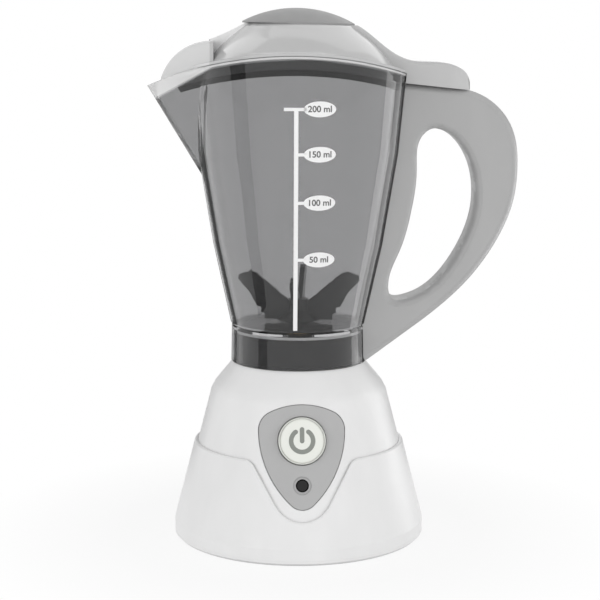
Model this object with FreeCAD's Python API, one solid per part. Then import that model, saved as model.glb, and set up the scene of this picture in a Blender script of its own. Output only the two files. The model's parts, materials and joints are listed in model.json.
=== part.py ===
import FreeCAD, Part
import math
import os
from FreeCAD import Placement, Rotation, Vector

os.makedirs("parts", exist_ok=True)

# A battery toy blender: a conical motor base, a tapered clear jug with an arched
# rim and a pouring spout, a loop handle, and a lift-off lid with a thumb tab.
# Frame: origin on the jug's axis at the resting plane, +Z up, the control panel
# faces -Y, the handle points +X and the spout -X. All sizes are millimetres.

# ---------------------------------------------------------------- base shells
DECK_Z = 61.9            # flat ring that the jug stands on
DECK_R = 22.9
CREASE_Z = 52.8          # the long cone turns into the short top cone here
CREASE_R = 30.4
CREASE_SOFT = 1.3        # width of the bevel that softens the crease, to each side
BAND_R = 43.9            # upright band round the foot
BAND_TOP_Z = 5.5
COVER_WALL = 1.8
JACKET_WALL = 1.2        # the outer jacket stands this far proud of the cover
JACKET_TOP_Z = 33.4
JACKET_EDGE = 0.35       # bevel of the jacket's seam edge
SHELL_FIT = 0.05         # gap between the cover and the jacket round it
NOTCH_Z = 14.2           # lowest point of the jacket's front notch
NOTCH_TOE_R = 10.5
NOTCH_SHOULDER_R = 4.0
NOTCH_SLOPE = 60.0       # slope of the notch's straight sides
PLATE_T = 1.6
PLATE_EDGE = 0.9

# ---------------------------------------------------------------- control panel
BUTTON_Z = 40.3          # height of the button's centre on the cone
BUTTON_R = 7.9
BUTTON_PROUD = 1.0
BUTTON_CROWN = 0.4
BUTTON_TRAVEL = 1.5
BUTTON_GAP = 0.3
BUTTON_FLANGE_R = 9.2
BUTTON_FLANGE_T = 1.2
FLANGE_DEPTH = 3.7       # the flange's front face, below the panel's surface
STEM_R = 2.2
STEM_L = 2.6
PANEL_TOP = 12.0         # from the button's centre up the cone to the panel's top
PANEL_TOP_ARC = 25.0
PANEL_SHOULDER_R = 6.5
PANEL_SHOULDER_X = 7.9
PANEL_SIDE_ARC = 35.0
PANEL_TOE_R = 5.2
PANEL_TOE = 22.9         # from the button's centre down the cone to the panel's toe
PANEL_DEPTH = 1.0        # depth of the panel's seat in the cover
PANEL_PROUD = 0.2
PANEL_GAP = 0.2
LENS_DROP = 14.9         # from the button's centre down the cone to the lens
LENS_R = 2.1
LENS_GAP = 0.1
LENS_TOP = 0.4           # the lens ends this far below the panel's surface
LEAD = 0.5
LENS_DISH_R = 3.05
LENS_DISH = 0.5

# ---------------------------------------------------------------- circuit board
BOARD_DEPTH = 12.0       # the board's front face, below the panel's surface
BOARD_T = 1.0
BOARD_W = 25.0
BOARD_CORNER = 1.5
BOARD_UP = 11.5          # the board's reach above and below the button's centre
BOARD_DOWN = 21.0
STANDOFF_R = 2.0
STANDOFF_X = 10.3
STANDOFF_UP = 9.2
STANDOFF_DOWN = 18.0
CHIP = (3.0, 2.4, 1.2)   # length, width and height of the small chip on the board's back
COIL = (5.0, 4.0, 1.6)
PARTS_X = -6.5           # the chip's centre across the board, and how far it is below
PARTS_DROP = 10.8        # the button; the coil stands level with it on the other side
SWITCH_SIDE = 6.0
SWITCH_H = 2.8
PLUNGER_R = 1.6
PLUNGER_GAP = 0.2
SPRING_R = 5.3
SPRING_WIRE = 0.5
SPRING_TURNS = 3
SPRING_STEPS = 12        # straight steps in each turn

# ---------------------------------------------------------------- battery bay
CELL_R = 5.25
CELL_L = 44.5
CELL_NUB_R = 1.9
CELL_NUB_L = 1.2
CELL_PITCH = 10.8
CELL_LIFT = 0.4          # clearance between the door and the cells
BAY_Y = 3.2              # front wall of the bay, so the plate is whole at the axis
BAY_WALL = 1.2
BAY_END = 2.65           # room for the contacts at each end of the cells
DOOR_GAP = 0.3
DOOR_RIB = 2.2
DOOR_SCREW_OUT = 6.9     # from the cells' end to the door's screw
DOOR_SCREW_SINK = 0.2
DOOR_HEAD_H = 0.9
CONTACT_T = 0.4
CONTACT_W = 8.0

# ---------------------------------------------------------------- drive
GEAR_MODULE = 0.7
GEAR_TEETH = 32
PINION_TEETH = 12
BACKLASH = 0.16
PRESSURE_ANGLE = 20.0
PLATE_Z = 45.0           # underside of the gear plate, the motor hangs from it
GEAR_PLATE_T = 1.6
GEAR_PLATE_R = 27.0
GEAR_PLATE_FRONT = 13.0
GEAR_PLATE_RIB = 1.2
GEAR_PLATE_BOSS = 1.2
GEAR_GAP = 2.4           # between the plate and the drive gear
GEAR_T = 4.0
PINION_EXTRA = 0.8       # the pinion stands past the gear's face at each side
SHAFT_R = 2.0
RUN_FIT = 0.05           # radial running clearance
MOTOR_R = 10.05
MOTOR_FLAT = 15.1
MOTOR_L = 25.0
MOTOR_BOSS_R = 3.1
MOTOR_TAIL = 1.6
MOTOR_TAG = (0.6, 2.4, 3.0)
MOTOR_TAG_X = 7.0
MOTOR_SCREW_IN = 2.0     # from the can's side to its screws
MOTOR_SCREW_R = 1.7
MOTOR_SCREW_L = 3.0
MOTOR_SHAFT_R = 1.0
CLIP_R = 4.0
CLIP_T = 0.8
SPIGOT_IN = 6.0          # from the collar's outside to the round boss that locates the jug
SPIGOT_H = 2.8
KEY_W = 3.0
KEY_OUT = 1.6
BUSH_R = 3.2
BUSH_L = 4.2
DOG_R = 7.0
DOG_CORE_R = 3.0
DOG_T = 1.2
DOG_ANGLE = 40.0
DOG_GAP = 0.4            # axial gap between the two couplings' dogs
DOG_REACH = 2.8

# ---------------------------------------------------------------- jug
COLLAR_R = 23.6
COLLAR_TOP_Z = 74.3
COLLAR_GROOVE = 0.5
WALL = 1.8
FLOOR_Z = 75.2           # inside floor
FLOOR_T = 2.0
WALL_FOOT = (23.7, 75.5)      # radius and height of the wall's foot, its two bends
WALL_LOW_BEND = (29.6, 103.0)        # and its rim; the tapers steepen upwards
WALL_HIGH_BEND = (34.6, 134.0)
WALL_RIM = (37.8, 168.0)
ARCH_R = 124.1           # the rim lies on a cylinder about a Y axis
ARCH_X = -2.5
ARCH_TOP_Z = 167.3
KEEL_X = -34.7           # where the spout's keel leaves the wall
KEEL_Z = 128.8
KEEL_LEAN = 0.6          # outward run for each millimetre of rise
SPOUT_ANGLE = 38.0       # half angle of the spout's V
SPOUT_TIP_R = 3.0
SPOUT_RUN = 31.0
SPOUT_WALL = 2.0
INSERT_FIT = 0.1
INSERT_SKIRT_GAP = 0.35
INSERT_LIFT = 0.4
INSERT_PLATE_T = 1.2
INSERT_BOSS_R = 11.4
INSERT_BOSS_H = 1.0
JUG_BUSH_R = 3.0
BLADE_SHAFT_R = 1.5
SEAL_R = 3.8
SEAL_T = 1.5
SEAL_SINK = 1.0

# ---------------------------------------------------------------- blades
BLADE_LIFT = 1.0         # above the jug's floor
BLADE_T = 1.8
BLADE_COUNT = 4
BLADE_TURN = -7.5        # rest angle of the rotor
HUB_R = 3.4
HUB_H = 6.6
HUB_CONE = (7.5, 3.2)    # foot radius and height of the hub's skirt
FIN_FOOT = ((11.9, 0), (11.9, 1.9), (13.1, 2.4), (13.1, 4.2))
FIN_TIP = ((14.7, 4.6), (17.3, 9.6), (21.4, 13.9), (21.2, 15.4), (17.2, 16.9), (15.0, 16.2))
FIN_NECK = ((7.8, 10.4), (6.6, 9.2))

# ---------------------------------------------------------------- handle
HANDLE_HALF = 8.0        # half of the handle's thickness
HANDLE_EDGE = 2.2
HANDLE_TOP = ((30.0, 158.7), (57.5, 155.75))
HANDLE_BACK = (
    (63.6, 153.3), (69.2, 148.7), (73.3, 141.9), (75.1, 130.0), (73.8, 117.7),
    (68.0, 103.7), (57.8, 89.7), (45.6, 78.6),
)
HANDLE_TOE = (23.6, 62.3)
HANDLE_HOLE = (
    (47.2, 142.6), (52.8, 139.9), (57.8, 133.5), (60.6, 124.0), (60.0, 112.5),
    (54.8, 99.6), (46.4, 88.8), (37.6, 83.9), (32.2, 83.9), (30.9, 88.4),
    (34.8, 100.6), (38.8, 115.0), (40.4, 128.8), (42.4, 140.4),
)
HANDLE_SCREWS = ((48.0, 149.0), (66.8, 124.0), (42.0, 81.0))
HANDLE_SCREW_SEAT = 2.5  # from the back face to the seat under the heads
HANDLE_SCREW_TIP = 4.5   # reach of the screws past the parting plane

# ---------------------------------------------------------------- lid
DOME = (                 # height, half length along X, half width along Y
    (180.5, 15.0, 15.0),
    (178.4, 18.0, 18.4),
    (172.3, 25.3, 30.6),
    (168.4, 29.1, 36.6),
    (161.0, 34.0, 42.8),
    (152.0, 38.4, 50.0),
)
LID_WALL = 1.8
LID_GAP = 0.25           # between the lid and the jug's rim
FLANGE_T = 0.9
SKIRT_H = 1.3            # light ring of the lid that drops inside the rim
PLUG_H = 6.1             # depth of the dark ring's lower edge below the rim
PLUG_FIT = 0.5
PLUG_WALL = 2.0
LOBE_R = 14.3            # tip radius of the ring's lobe in the spout
SEAL_BAND_H = 2.0
SEAL_BAND_FIT = 0.2
CAP_R = 19.2
CAP_EDGE_Z = 177.9
CAP_RISE = 4.9
CAP_TILT = 1.6
CAP_RIM = 0.5
CAP_PEG_R = 6.0
CAP_PEG_L = 2.4
HOOD_TIP_X = -47.0
HOOD_BACK_X = -28.8
HOOD_FOOT = ((-50.0, 153.7), (-20.0, 166.9))
HOOD_TIP_R = 2.4
HOOD_TOP = ((-47.0, 159.8), (-40.6, 168.6), (-28.8, 172.3))
HOOD_ROUND = 2.0
SPINE_W = 6.5
SPINE_TOP = ((-30.4, 172.7), (-25.3, 174.7), (-17.0, 179.0))
TAB_W = 9.5
TAB_TOP = ((17.0, 178.6), (22.2, 175.8), (30.0, 169.6), (37.0, 166.0), (51.0, 164.6))
TAB_NOSE = ((56.6, 161.6), (58.7, 156.6))
TAB_ROUND = 1.6
TAB_END_R = 8.0

# ---------------------------------------------------------------- screws
POST_R = 3.0
POST_TOP = 36.0
POST_ANGLE = 32.2        # the two front posts, below the X axis
FRONT_POST_IN = 1.05     # from the cover's inside, level with the posts' tops, to their centres
REAR_POST_IN = 8.3       # from the band's outside to the rear post's centre
HEAD_R = 2.4
HEAD_H = 1.5
HEAD_GAP = 0.2
SHANK_R = 1.1
SCREW_L = 9.0
BOSS_H = 2.0             # raised ring inside the plate round each screw
HEAD_SINK = 0.5
GEAR_POST_R = 2.8
GEAR_POST_IN = 4.9       # from the gear plate's edge to its posts' centres
GEAR_POST_ANGLE = 20.1   # the two front posts, below the X axis
GEAR_POST_GAP = 1.15     # between the rear posts and the heads of the motor's screws
PIN_SIDES = 8            # flats of the screws' shanks and of their pilot holes

# ---------------------------------------------------------------- worked-out places
COVER_BAND_R = BAND_R - JACKET_WALL
CONE_SLOPE = (COVER_BAND_R - CREASE_R) / (CREASE_Z - BAND_TOP_Z)
LEAN = math.degrees(math.atan(CONE_SLOPE))
SLANT = math.hypot(1.0, CONE_SLOPE)
SPIGOT_R = COLLAR_R - SPIGOT_IN
SPIGOT_Z = DECK_Z + SPIGOT_H
GEAR_CENTRES = GEAR_MODULE * (GEAR_TEETH + PINION_TEETH) / 2
GEAR_PLATE_TOP = PLATE_Z + GEAR_PLATE_T
GEAR_Z = GEAR_PLATE_TOP + GEAR_GAP
FLOOR_UNDER = FLOOR_Z - FLOOR_T
INSERT_TOP = FLOOR_UNDER - INSERT_BOSS_H
INSERT_UNDER = INSERT_TOP - INSERT_PLATE_T
DRIVE_DOG_Z = SPIGOT_Z + DOG_GAP
BLADE_DOG_TOP = INSERT_UNDER - DOG_GAP
BLADE_Z = FLOOR_Z + BLADE_LIFT
ARCH_Z = ARCH_TOP_Z - ARCH_R
CELL_Z = PLATE_T + CELL_LIFT + CELL_R
BAY_X = CELL_L / 2 + BAY_END
BAY_Y_END = BAY_Y + CELL_PITCH + 2 * CELL_R + 2 * CELL_LIFT
BAY_TOP = CELL_Z + CELL_R + CELL_LIFT
DOOR_X = CELL_L / 2 + 2 * DOOR_GAP
DOOR_MID_Y = (BAY_Y + BAY_Y_END) / 2
DOOR_SCREW_X = CELL_L / 2 + DOOR_SCREW_OUT
STEM_TIP = FLANGE_DEPTH + BUTTON_FLANGE_T + STEM_L


def cone_radius(z):
    """Radius of the long cone's surface, as if it had no band or crease."""
    return CREASE_R + CONE_SLOPE * (CREASE_Z - z)


def ring_place(radius, angle):
    """Place in plan at a radius and an angle in degrees from +X."""
    return (radius * math.cos(math.radians(angle)), radius * math.sin(math.radians(angle)))


FRONT_POST_RING = cone_radius(POST_TOP) - COVER_WALL - FRONT_POST_IN
POST_PLACES = (
    ring_place(FRONT_POST_RING, -POST_ANGLE),
    ring_place(FRONT_POST_RING, 180 + POST_ANGLE),
    ring_place(BAND_R - REAR_POST_IN, 90),
)
GEAR_POST_RING = GEAR_PLATE_R - GEAR_POST_IN
GEAR_POST_X = MOTOR_R - MOTOR_SCREW_IN + MOTOR_SCREW_R + GEAR_POST_GAP + GEAR_POST_R
GEAR_POST_Y = math.sqrt(GEAR_POST_RING ** 2 - GEAR_POST_X ** 2)
GEAR_POSTS = (
    ring_place(GEAR_POST_RING, -GEAR_POST_ANGLE),
    ring_place(GEAR_POST_RING, 180 + GEAR_POST_ANGLE),
    (GEAR_POST_X, GEAR_POST_Y),
    (-GEAR_POST_X, GEAR_POST_Y),
)


# ---------------------------------------------------------------- helpers
def rz(r, z):
    return Vector(r, 0, z)


def cylinder(radius, z0, z1, x=0.0, y=0.0):
    return Part.makeCylinder(radius, z1 - z0, Vector(x, y, z0))


def tube(outer, inner, z0, z1, x=0.0, y=0.0):
    return cylinder(outer, z0, z1, x, y).cut(cylinder(inner, z0 - 1, z1 + 1, x, y))


def box(x0, x1, y0, y1, z0, z1):
    return Part.makeBox(x1 - x0, y1 - y0, z1 - z0, Vector(x0, y0, z0))


def pin(radius, z0, z1, x=0.0, y=0.0):
    """Small upright bar with flats, for screw shanks, pilot holes and posts."""
    ring = [Vector(x + u, y + v, z0) for u, v in
            [ring_place(radius, 360 * i / PIN_SIDES) for i in range(PIN_SIDES)]]
    return Part.Face(polygon(ring)).extrude(Vector(0, 0, z1 - z0))


def sector(outer, inner, start, angle, z0, z1):
    wedge = Part.makeCylinder(outer, z1 - z0, Vector(0, 0, z0), Vector(0, 0, 1), angle)
    wedge = wedge.cut(cylinder(inner, z0 - 1, z1 + 1))
    wedge.rotate(Vector(), Vector(0, 0, 1), start)
    return wedge


def fuse_all(shapes):
    shapes = list(shapes)
    return shapes[0].fuse(shapes[1:]).removeSplitter()


def cut_all(shape, tools):
    return shape.cut(list(tools)).removeSplitter()


def polygon(points):
    return Part.makePolygon(list(points) + [points[0]])


def revolved(points):
    """Solid of revolution about Z of a closed outline of radius and height pairs."""
    face = Part.Face(polygon([rz(r, z) for r, z in points]))
    return face.revolve(Vector(), Vector(0, 0, 1), 360)


def curve(points):
    """Smooth edge through the points."""
    line = Part.BSplineCurve()
    line.interpolate(points)
    return line.toShape()


def line(a, b):
    return Part.LineSegment(a, b).toShape()


def arc(a, middle, b):
    return Part.Arc(a, middle, b).toShape()


def prism_y(edges, y0, y1):
    """Solid between two heights in Y over a closed outline drawn in the XZ plane."""
    face = Part.Face(Part.Wire(Part.__sortEdges__(edges)))
    solid = face.extrude(Vector(0, y1 - y0, 0))
    solid.translate(Vector(0, y0, 0))
    return solid


def parallel(points, distance):
    """Open outline of radius and height pairs moved to its left by the distance."""
    lines = []
    for (r0, z0), (r1, z1) in zip(points, points[1:]):
        length = math.hypot(r1 - r0, z1 - z0)
        nr, nz = -(z1 - z0) / length, (r1 - r0) / length
        lines.append(((r0 + nr * distance, z0 + nz * distance), (r1 - r0, z1 - z0)))
    moved = [lines[0][0]]
    for ((ar, az), (ur, uz)), ((br, bz), (vr, vz)) in zip(lines, lines[1:]):
        t = ((br - ar) * vz - (bz - az) * vr) / (ur * vz - uz * vr)
        moved.append((ar + ur * t, az + uz * t))
    (r, z), (ur, uz) = lines[-1]
    return moved + [(r + ur, z + uz)]


def screw(x, y, z_head, z_tip, head_r=HEAD_R, head_h=HEAD_H, shank_r=SHANK_R):
    """Plain-headed screw that points up."""
    return fuse_all([cylinder(head_r, z_head, z_head + head_h, x, y),
                     pin(shank_r, z_head + head_h, z_tip, x, y)])


def on_panel(shape):
    """Places a shape drawn with +Z out of the panel and +Y up the cone."""
    placed = shape.copy()
    seat = Placement(Vector(0, -cone_radius(BUTTON_Z), BUTTON_Z),
                     Rotation(Vector(1, 0, 0), 90 - LEAN))
    placed.Placement = seat.multiply(placed.Placement)
    return placed


def cone_solid(offset):
    """Solid inside the long cone's surface moved outwards by the offset."""
    low, high = PLATE_T, CREASE_Z + 6
    grow = offset * SLANT
    return Part.makeCone(cone_radius(low) + grow, cone_radius(high) + grow,
                         high - low, Vector(0, 0, low))


# ---------------------------------------------------------------- base shells
def cover_outline():
    top_slope = (CREASE_R - DECK_R) / (DECK_Z - CREASE_Z)
    return [(COVER_BAND_R, PLATE_T), (COVER_BAND_R, BAND_TOP_Z),
            (CREASE_R + CONE_SLOPE * CREASE_SOFT, CREASE_Z - CREASE_SOFT),
            (CREASE_R - top_slope * CREASE_SOFT, CREASE_Z + CREASE_SOFT),
            (DECK_R, DECK_Z), (SPIGOT_R, DECK_Z)]


def solid_base():
    """Everything inside the cover's outer surface, up to the deck."""
    return revolved(cover_outline() + [(0, DECK_Z), (0, PLATE_T)])


def hollow_base():
    inner = parallel(cover_outline(), COVER_WALL)
    inner[0] = (inner[0][0], PLATE_T - 1)
    inner[-1] = (0, inner[-1][1])
    return revolved(inner + [(0, PLATE_T - 1)])


def panel_outline(offset):
    """Rounded-triangle face of the control panel, grown by the offset."""
    shoulder_r = PANEL_SHOULDER_R + offset
    toe_r = PANEL_TOE_R + offset
    top_centre = Vector(0, PANEL_TOP - PANEL_TOP_ARC, 0)
    rise = math.sqrt((PANEL_TOP_ARC - PANEL_SHOULDER_R) ** 2 - PANEL_SHOULDER_X ** 2)
    shoulder = Vector(PANEL_SHOULDER_X, top_centre.y + rise, 0)
    toe = Vector(0, PANEL_TOE_R - PANEL_TOE, 0)
    near = PANEL_SIDE_ARC - PANEL_SHOULDER_R
    far = PANEL_SIDE_ARC - PANEL_TOE_R
    span = shoulder.sub(toe)
    along = (far ** 2 - near ** 2 + span.Length ** 2) / (2 * span.Length)
    across = math.sqrt(far ** 2 - along ** 2)
    unit = Vector(span).normalize()
    side_centre = toe + unit * along + Vector(-unit.y, unit.x, 0) * across

    def reach(centre, towards, radius):
        return centre + Vector(towards.sub(centre)).normalize() * radius

    top_r = PANEL_TOP_ARC + offset
    side_r = PANEL_SIDE_ARC + offset
    top = top_centre + Vector(0, top_r, 0)
    p1 = reach(top_centre, shoulder, top_r)
    p2 = reach(side_centre, shoulder, side_r)
    p3 = reach(side_centre, toe, side_r)
    bend = shoulder + (p1.sub(shoulder) + p2.sub(shoulder)).normalize() * shoulder_r
    side = side_centre + (p2.sub(side_centre) + p3.sub(side_centre)).normalize() * side_r
    bottom = toe - Vector(0, toe_r, 0)

    def mirror(p):
        return Vector(-p.x, p.y, 0)

    edges = [arc(mirror(p1), top, p1), arc(p1, bend, p2), arc(p2, side, p3),
             arc(p3, bottom, mirror(p3)), arc(mirror(p3), mirror(side), mirror(p2)),
             arc(mirror(p2), mirror(bend), mirror(p1))]
    return Part.Face(Part.Wire(edges))


def panel_prism(offset):
    reach = PANEL_TOP
    face = panel_outline(offset)
    face.translate(Vector(0, 0, -reach))
    return on_panel(face.extrude(Vector(0, 0, 2 * reach)))


def control_panel():
    shape = panel_prism(0).common(cone_solid(PANEL_PROUD)).cut(cone_solid(-PANEL_DEPTH))
    holes = [cylinder(BUTTON_R + BUTTON_GAP, -PANEL_TOP, PANEL_TOP),
             cylinder(LENS_R + LENS_GAP, -PANEL_TOP, PANEL_TOP, 0, -LENS_DROP),
             cylinder(LENS_DISH_R, PANEL_PROUD - LENS_DISH, PANEL_TOP, 0, -LENS_DROP)]
    return cut_all(shape, [on_panel(h) for h in holes])


def standoff_places():
    return [(side * STANDOFF_X, v) for side in (-1, 1) for v in (STANDOFF_UP, -STANDOFF_DOWN)]


def upper_cover():
    outer = solid_base()
    shell = outer.cut(hollow_base())
    spigot = fuse_all([
        tube(SPIGOT_R, SPIGOT_R - COVER_WALL, DECK_Z - COVER_WALL, SPIGOT_Z),
        cylinder(SPIGOT_R, SPIGOT_Z - COVER_WALL, SPIGOT_Z),
        cylinder(BUSH_R + COVER_WALL, SPIGOT_Z - BUSH_L, SPIGOT_Z)])
    shell = shell.cut(cylinder(SPIGOT_R - COVER_WALL, DECK_Z - 2 * COVER_WALL, DECK_Z + 1))
    keys = []
    for i in range(3):
        key = box(SPIGOT_R - COVER_WALL / 2, SPIGOT_R + KEY_OUT, -KEY_W / 2, KEY_W / 2,
                  DECK_Z - COVER_WALL / 2, SPIGOT_Z - COVER_WALL / 4)
        key.rotate(Vector(), Vector(0, 0, 1), 90 + 120 * i)
        keys.append(key)
    posts = [pin(POST_R, PLATE_T + BOSS_H, POST_TOP, x, y) for x, y in POST_PLACES]
    posts += [pin(GEAR_POST_R, GEAR_PLATE_TOP, DECK_Z - COVER_WALL / 2, x, y)
              for x, y in GEAR_POSTS]
    posts += [on_panel(pin(STANDOFF_R, -BOARD_DEPTH, 0, x, y)) for x, y in standoff_places()]
    inside = [post.common(outer) for post in posts]
    body = fuse_all([shell, spigot] + keys + inside)
    reach = PANEL_TOP
    seat = panel_prism(PANEL_GAP).cut(cone_solid(-PANEL_DEPTH))
    seat = seat.common(on_panel(box(-2 * reach, 2 * reach, -3 * reach, 2 * reach, -reach, reach)))
    cuts = [
        seat,
        on_panel(cylinder(BUTTON_R + BUTTON_GAP, -reach, reach)),
        on_panel(cylinder(LENS_R + LENS_GAP, -reach, reach, 0, -LENS_DROP)),
        cylinder(BUSH_R, SPIGOT_Z - 2 * BUSH_L, SPIGOT_Z + 1)]
    cuts += [pin(SHANK_R, PLATE_T, PLATE_T + HEAD_SINK + SCREW_L, x, y) for x, y in POST_PLACES]
    cuts += [pin(SHANK_R, PLATE_Z, GEAR_PLATE_TOP + SCREW_L / 2, x, y) for x, y in GEAR_POSTS]
    cuts += [on_panel(pin(SHANK_R * 0.8, -BOARD_DEPTH - 1, -BOARD_DEPTH / 2, x, y))
             for x, y in standoff_places()]
    return cut_all(body, cuts)


def seam_notch():
    """Space in front that the jacket's notch leaves open round the panel."""
    slope = math.radians(NOTCH_SLOPE)
    high = JACKET_TOP_Z + NOTCH_SHOULDER_R / 40
    turn = 1 - math.cos(slope)
    toe_x, toe_z = NOTCH_TOE_R * math.sin(slope), NOTCH_Z + NOTCH_TOE_R * turn
    knee_z = high - NOTCH_SHOULDER_R * turn
    knee_x = toe_x + (knee_z - toe_z) / math.tan(slope)
    end_x = knee_x + NOTCH_SHOULDER_R * math.sin(slope)
    bend_x = end_x - NOTCH_SHOULDER_R * math.sin(slope / 2)
    bend_z = high - NOTCH_SHOULDER_R * (1 - math.cos(slope / 2))
    toe, knee, bend, end = [rz(toe_x, toe_z), rz(knee_x, knee_z), rz(bend_x, bend_z), rz(end_x, high)]
    roof = rz(end_x, high + NOTCH_TOE_R)

    def mirror(p):
        return Vector(-p.x, 0, p.z)

    edges = [arc(mirror(toe), rz(0, NOTCH_Z), toe), line(toe, knee), arc(knee, bend, end),
             line(end, roof), line(roof, mirror(roof)), line(mirror(roof), mirror(end)),
             arc(mirror(end), mirror(bend), mirror(knee)), line(mirror(knee), mirror(toe))]
    return prism_y(edges, -2 * BAND_R, 0)


def lower_shell():
    top_r = cone_radius(JACKET_TOP_Z)
    outer = [(BAND_R, PLATE_T), (BAND_R, BAND_TOP_Z), (top_r + JACKET_WALL, JACKET_TOP_Z)]
    fit = SHELL_FIT * SLANT
    inner = [(top_r + fit, JACKET_TOP_Z), (COVER_BAND_R + fit, BAND_TOP_Z), (COVER_BAND_R + fit, PLATE_T)]
    shell = revolved(outer + inner).cut(seam_notch())
    band_z = BAND_TOP_Z + JACKET_WALL
    seam = [e for e in shell.Edges if e.BoundBox.ZMin > band_z and outside_jacket(e)]
    return shell.makeChamfer(JACKET_EDGE, seam)


def outside_jacket(edge):
    """True for an edge that lies on the jacket's outer cone."""
    at = edge.valueAt((edge.FirstParameter + edge.LastParameter) / 2)
    return math.hypot(at.x, at.y) > cone_radius(at.z) + JACKET_WALL / 2


# ---------------------------------------------------------------- base plate and bay
def door_outline(gap):
    """Face of the battery door with its screw tongue, shrunk by the gap."""
    plate = box(-DOOR_X + gap, DOOR_X - gap, BAY_Y + gap, BAY_Y_END - gap, 0, PLATE_T)
    tongue_r = HEAD_R + COVER_WALL
    tongue = fuse_all([
        cylinder(tongue_r - gap, 0, PLATE_T, DOOR_SCREW_X, DOOR_MID_Y),
        box(DOOR_X - gap - 1, DOOR_SCREW_X, DOOR_MID_Y - tongue_r + gap,
            DOOR_MID_Y + tongue_r - gap, 0, PLATE_T)])
    return fuse_all([plate, tongue])


def base_plate():
    disc = cylinder(BAND_R, 0, PLATE_T)
    rim = [e for e in disc.Edges if e.BoundBox.ZMax < 0.01]
    disc = disc.makeChamfer(PLATE_EDGE, rim)
    bay = box(-BAY_X - BAY_WALL, BAY_X + BAY_WALL, BAY_Y - BAY_WALL, BAY_Y_END + BAY_WALL,
              PLATE_T / 2, BAY_TOP + BAY_WALL)
    room = box(-BAY_X, BAY_X, BAY_Y, BAY_Y_END, PLATE_T, BAY_TOP)
    bosses = [cylinder(POST_R + BAY_WALL, PLATE_T / 2, PLATE_T + BOSS_H, x, y)
              for x, y in POST_PLACES]
    door_boss = cylinder(HEAD_R + 1, PLATE_T + DOOR_GAP, CELL_Z + CELL_R, DOOR_SCREW_X, DOOR_MID_Y)
    body = fuse_all([disc, bay] + bosses)
    body = body.cut(door_outline(0)).fuse(door_boss)
    sink = HEAD_SINK + HEAD_H
    cuts = [room, cylinder(SHANK_R + BUTTON_GAP, 0, CELL_Z + CELL_R - 1, DOOR_SCREW_X, DOOR_MID_Y)]
    cuts += [cylinder(HEAD_R + BUTTON_GAP, -1, sink, x, y) for x, y in POST_PLACES]
    cuts += [pin(SHANK_R + 0.1, 0, PLATE_T + BOSS_H + 1, x, y) for x, y in POST_PLACES]
    return cut_all(body, cuts)


def battery_door():
    rib = box(-DOOR_X / 2, DOOR_X / 2, DOOR_MID_Y - 0.5, DOOR_MID_Y + 0.5,
              PLATE_T / 2, PLATE_T + DOOR_RIB)
    cuts = [cylinder(HEAD_R + DOOR_GAP, -1, DOOR_SCREW_SINK + DOOR_HEAD_H, DOOR_SCREW_X, DOOR_MID_Y),
            pin(SHANK_R, -1, PLATE_T + 1, DOOR_SCREW_X, DOOR_MID_Y)]
    grip = [box(-DOOR_X + 3 + 2 * i, -DOOR_X + 4 + 2 * i, DOOR_MID_Y - 4, DOOR_MID_Y + 4, -1, 0.4)
            for i in range(3)]
    return cut_all(fuse_all([door_outline(DOOR_GAP), rib]), cuts + grip)


def battery_cells():
    cells = []
    for i in range(2):
        y = BAY_Y + CELL_LIFT + CELL_R + CELL_PITCH * i
        turn = 1 if i == 0 else -1
        can = Part.makeCylinder(CELL_R, CELL_L - CELL_NUB_L, Vector(-turn * CELL_L / 2, y, CELL_Z),
                                Vector(turn, 0, 0))
        nub = Part.makeCylinder(CELL_NUB_R, CELL_L, Vector(-turn * CELL_L / 2, y, CELL_Z),
                                Vector(turn, 0, 0))
        cells.append(can.fuse(nub).removeSplitter())
    return Part.makeCompound(cells)


def battery_contacts():
    """Four strips at the ends of the bay, each with a leaf that bears on its cell."""
    strips = []
    for side in (-1, 1):
        for i in range(2):
            y = BAY_Y + CELL_LIFT + CELL_R + CELL_PITCH * i
            plate = box(BAY_X - CONTACT_T, BAY_X, y - CONTACT_W / 2, y + CONTACT_W / 2,
                        CELL_Z - CELL_R * 0.8, CELL_Z + CELL_R * 0.8)
            tip = CELL_L / 2
            root = BAY_X - CONTACT_T
            half = CELL_R * 0.7
            leaf = [Vector(root, 0, CELL_Z - half), Vector(tip, 0, CELL_Z - 0.6),
                    Vector(tip, 0, CELL_Z + 0.6), Vector(root, 0, CELL_Z + half),
                    Vector(root, 0, CELL_Z + half - 1), Vector(tip + CONTACT_T, 0, CELL_Z + 0.2),
                    Vector(tip + CONTACT_T, 0, CELL_Z - 0.2), Vector(root, 0, CELL_Z - half + 1)]
            bow = Part.Face(polygon(leaf)).extrude(Vector(0, CONTACT_W / 2, 0))
            bow.translate(Vector(0, y - CONTACT_W / 4, 0))
            strip = plate.fuse(bow).removeSplitter()
            if side < 0:
                strip = strip.mirror(Vector(), Vector(1, 0, 0))
            strips.append(strip)
    return Part.makeCompound(strips)


# ---------------------------------------------------------------- button group
def button():
    """Round push button with a bevelled face, a retaining flange and a stem."""
    cap = cylinder(BUTTON_R, -FLANGE_DEPTH, BUTTON_PROUD)
    rim = [e for e in cap.Edges if e.BoundBox.ZMin > BUTTON_PROUD - 0.01]
    cap = cap.makeChamfer(BUTTON_CROWN, rim)
    flange_end = FLANGE_DEPTH + BUTTON_FLANGE_T
    body = fuse_all([cap, cylinder(BUTTON_FLANGE_R, -flange_end, -FLANGE_DEPTH),
                     cylinder(STEM_R, -STEM_TIP, -flange_end)])
    return on_panel(body)


def switch_plunger():
    low = BOARD_DEPTH - PLUNGER_GAP - BUTTON_TRAVEL
    return on_panel(cylinder(PLUNGER_R, -low, -STEM_TIP))


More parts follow.
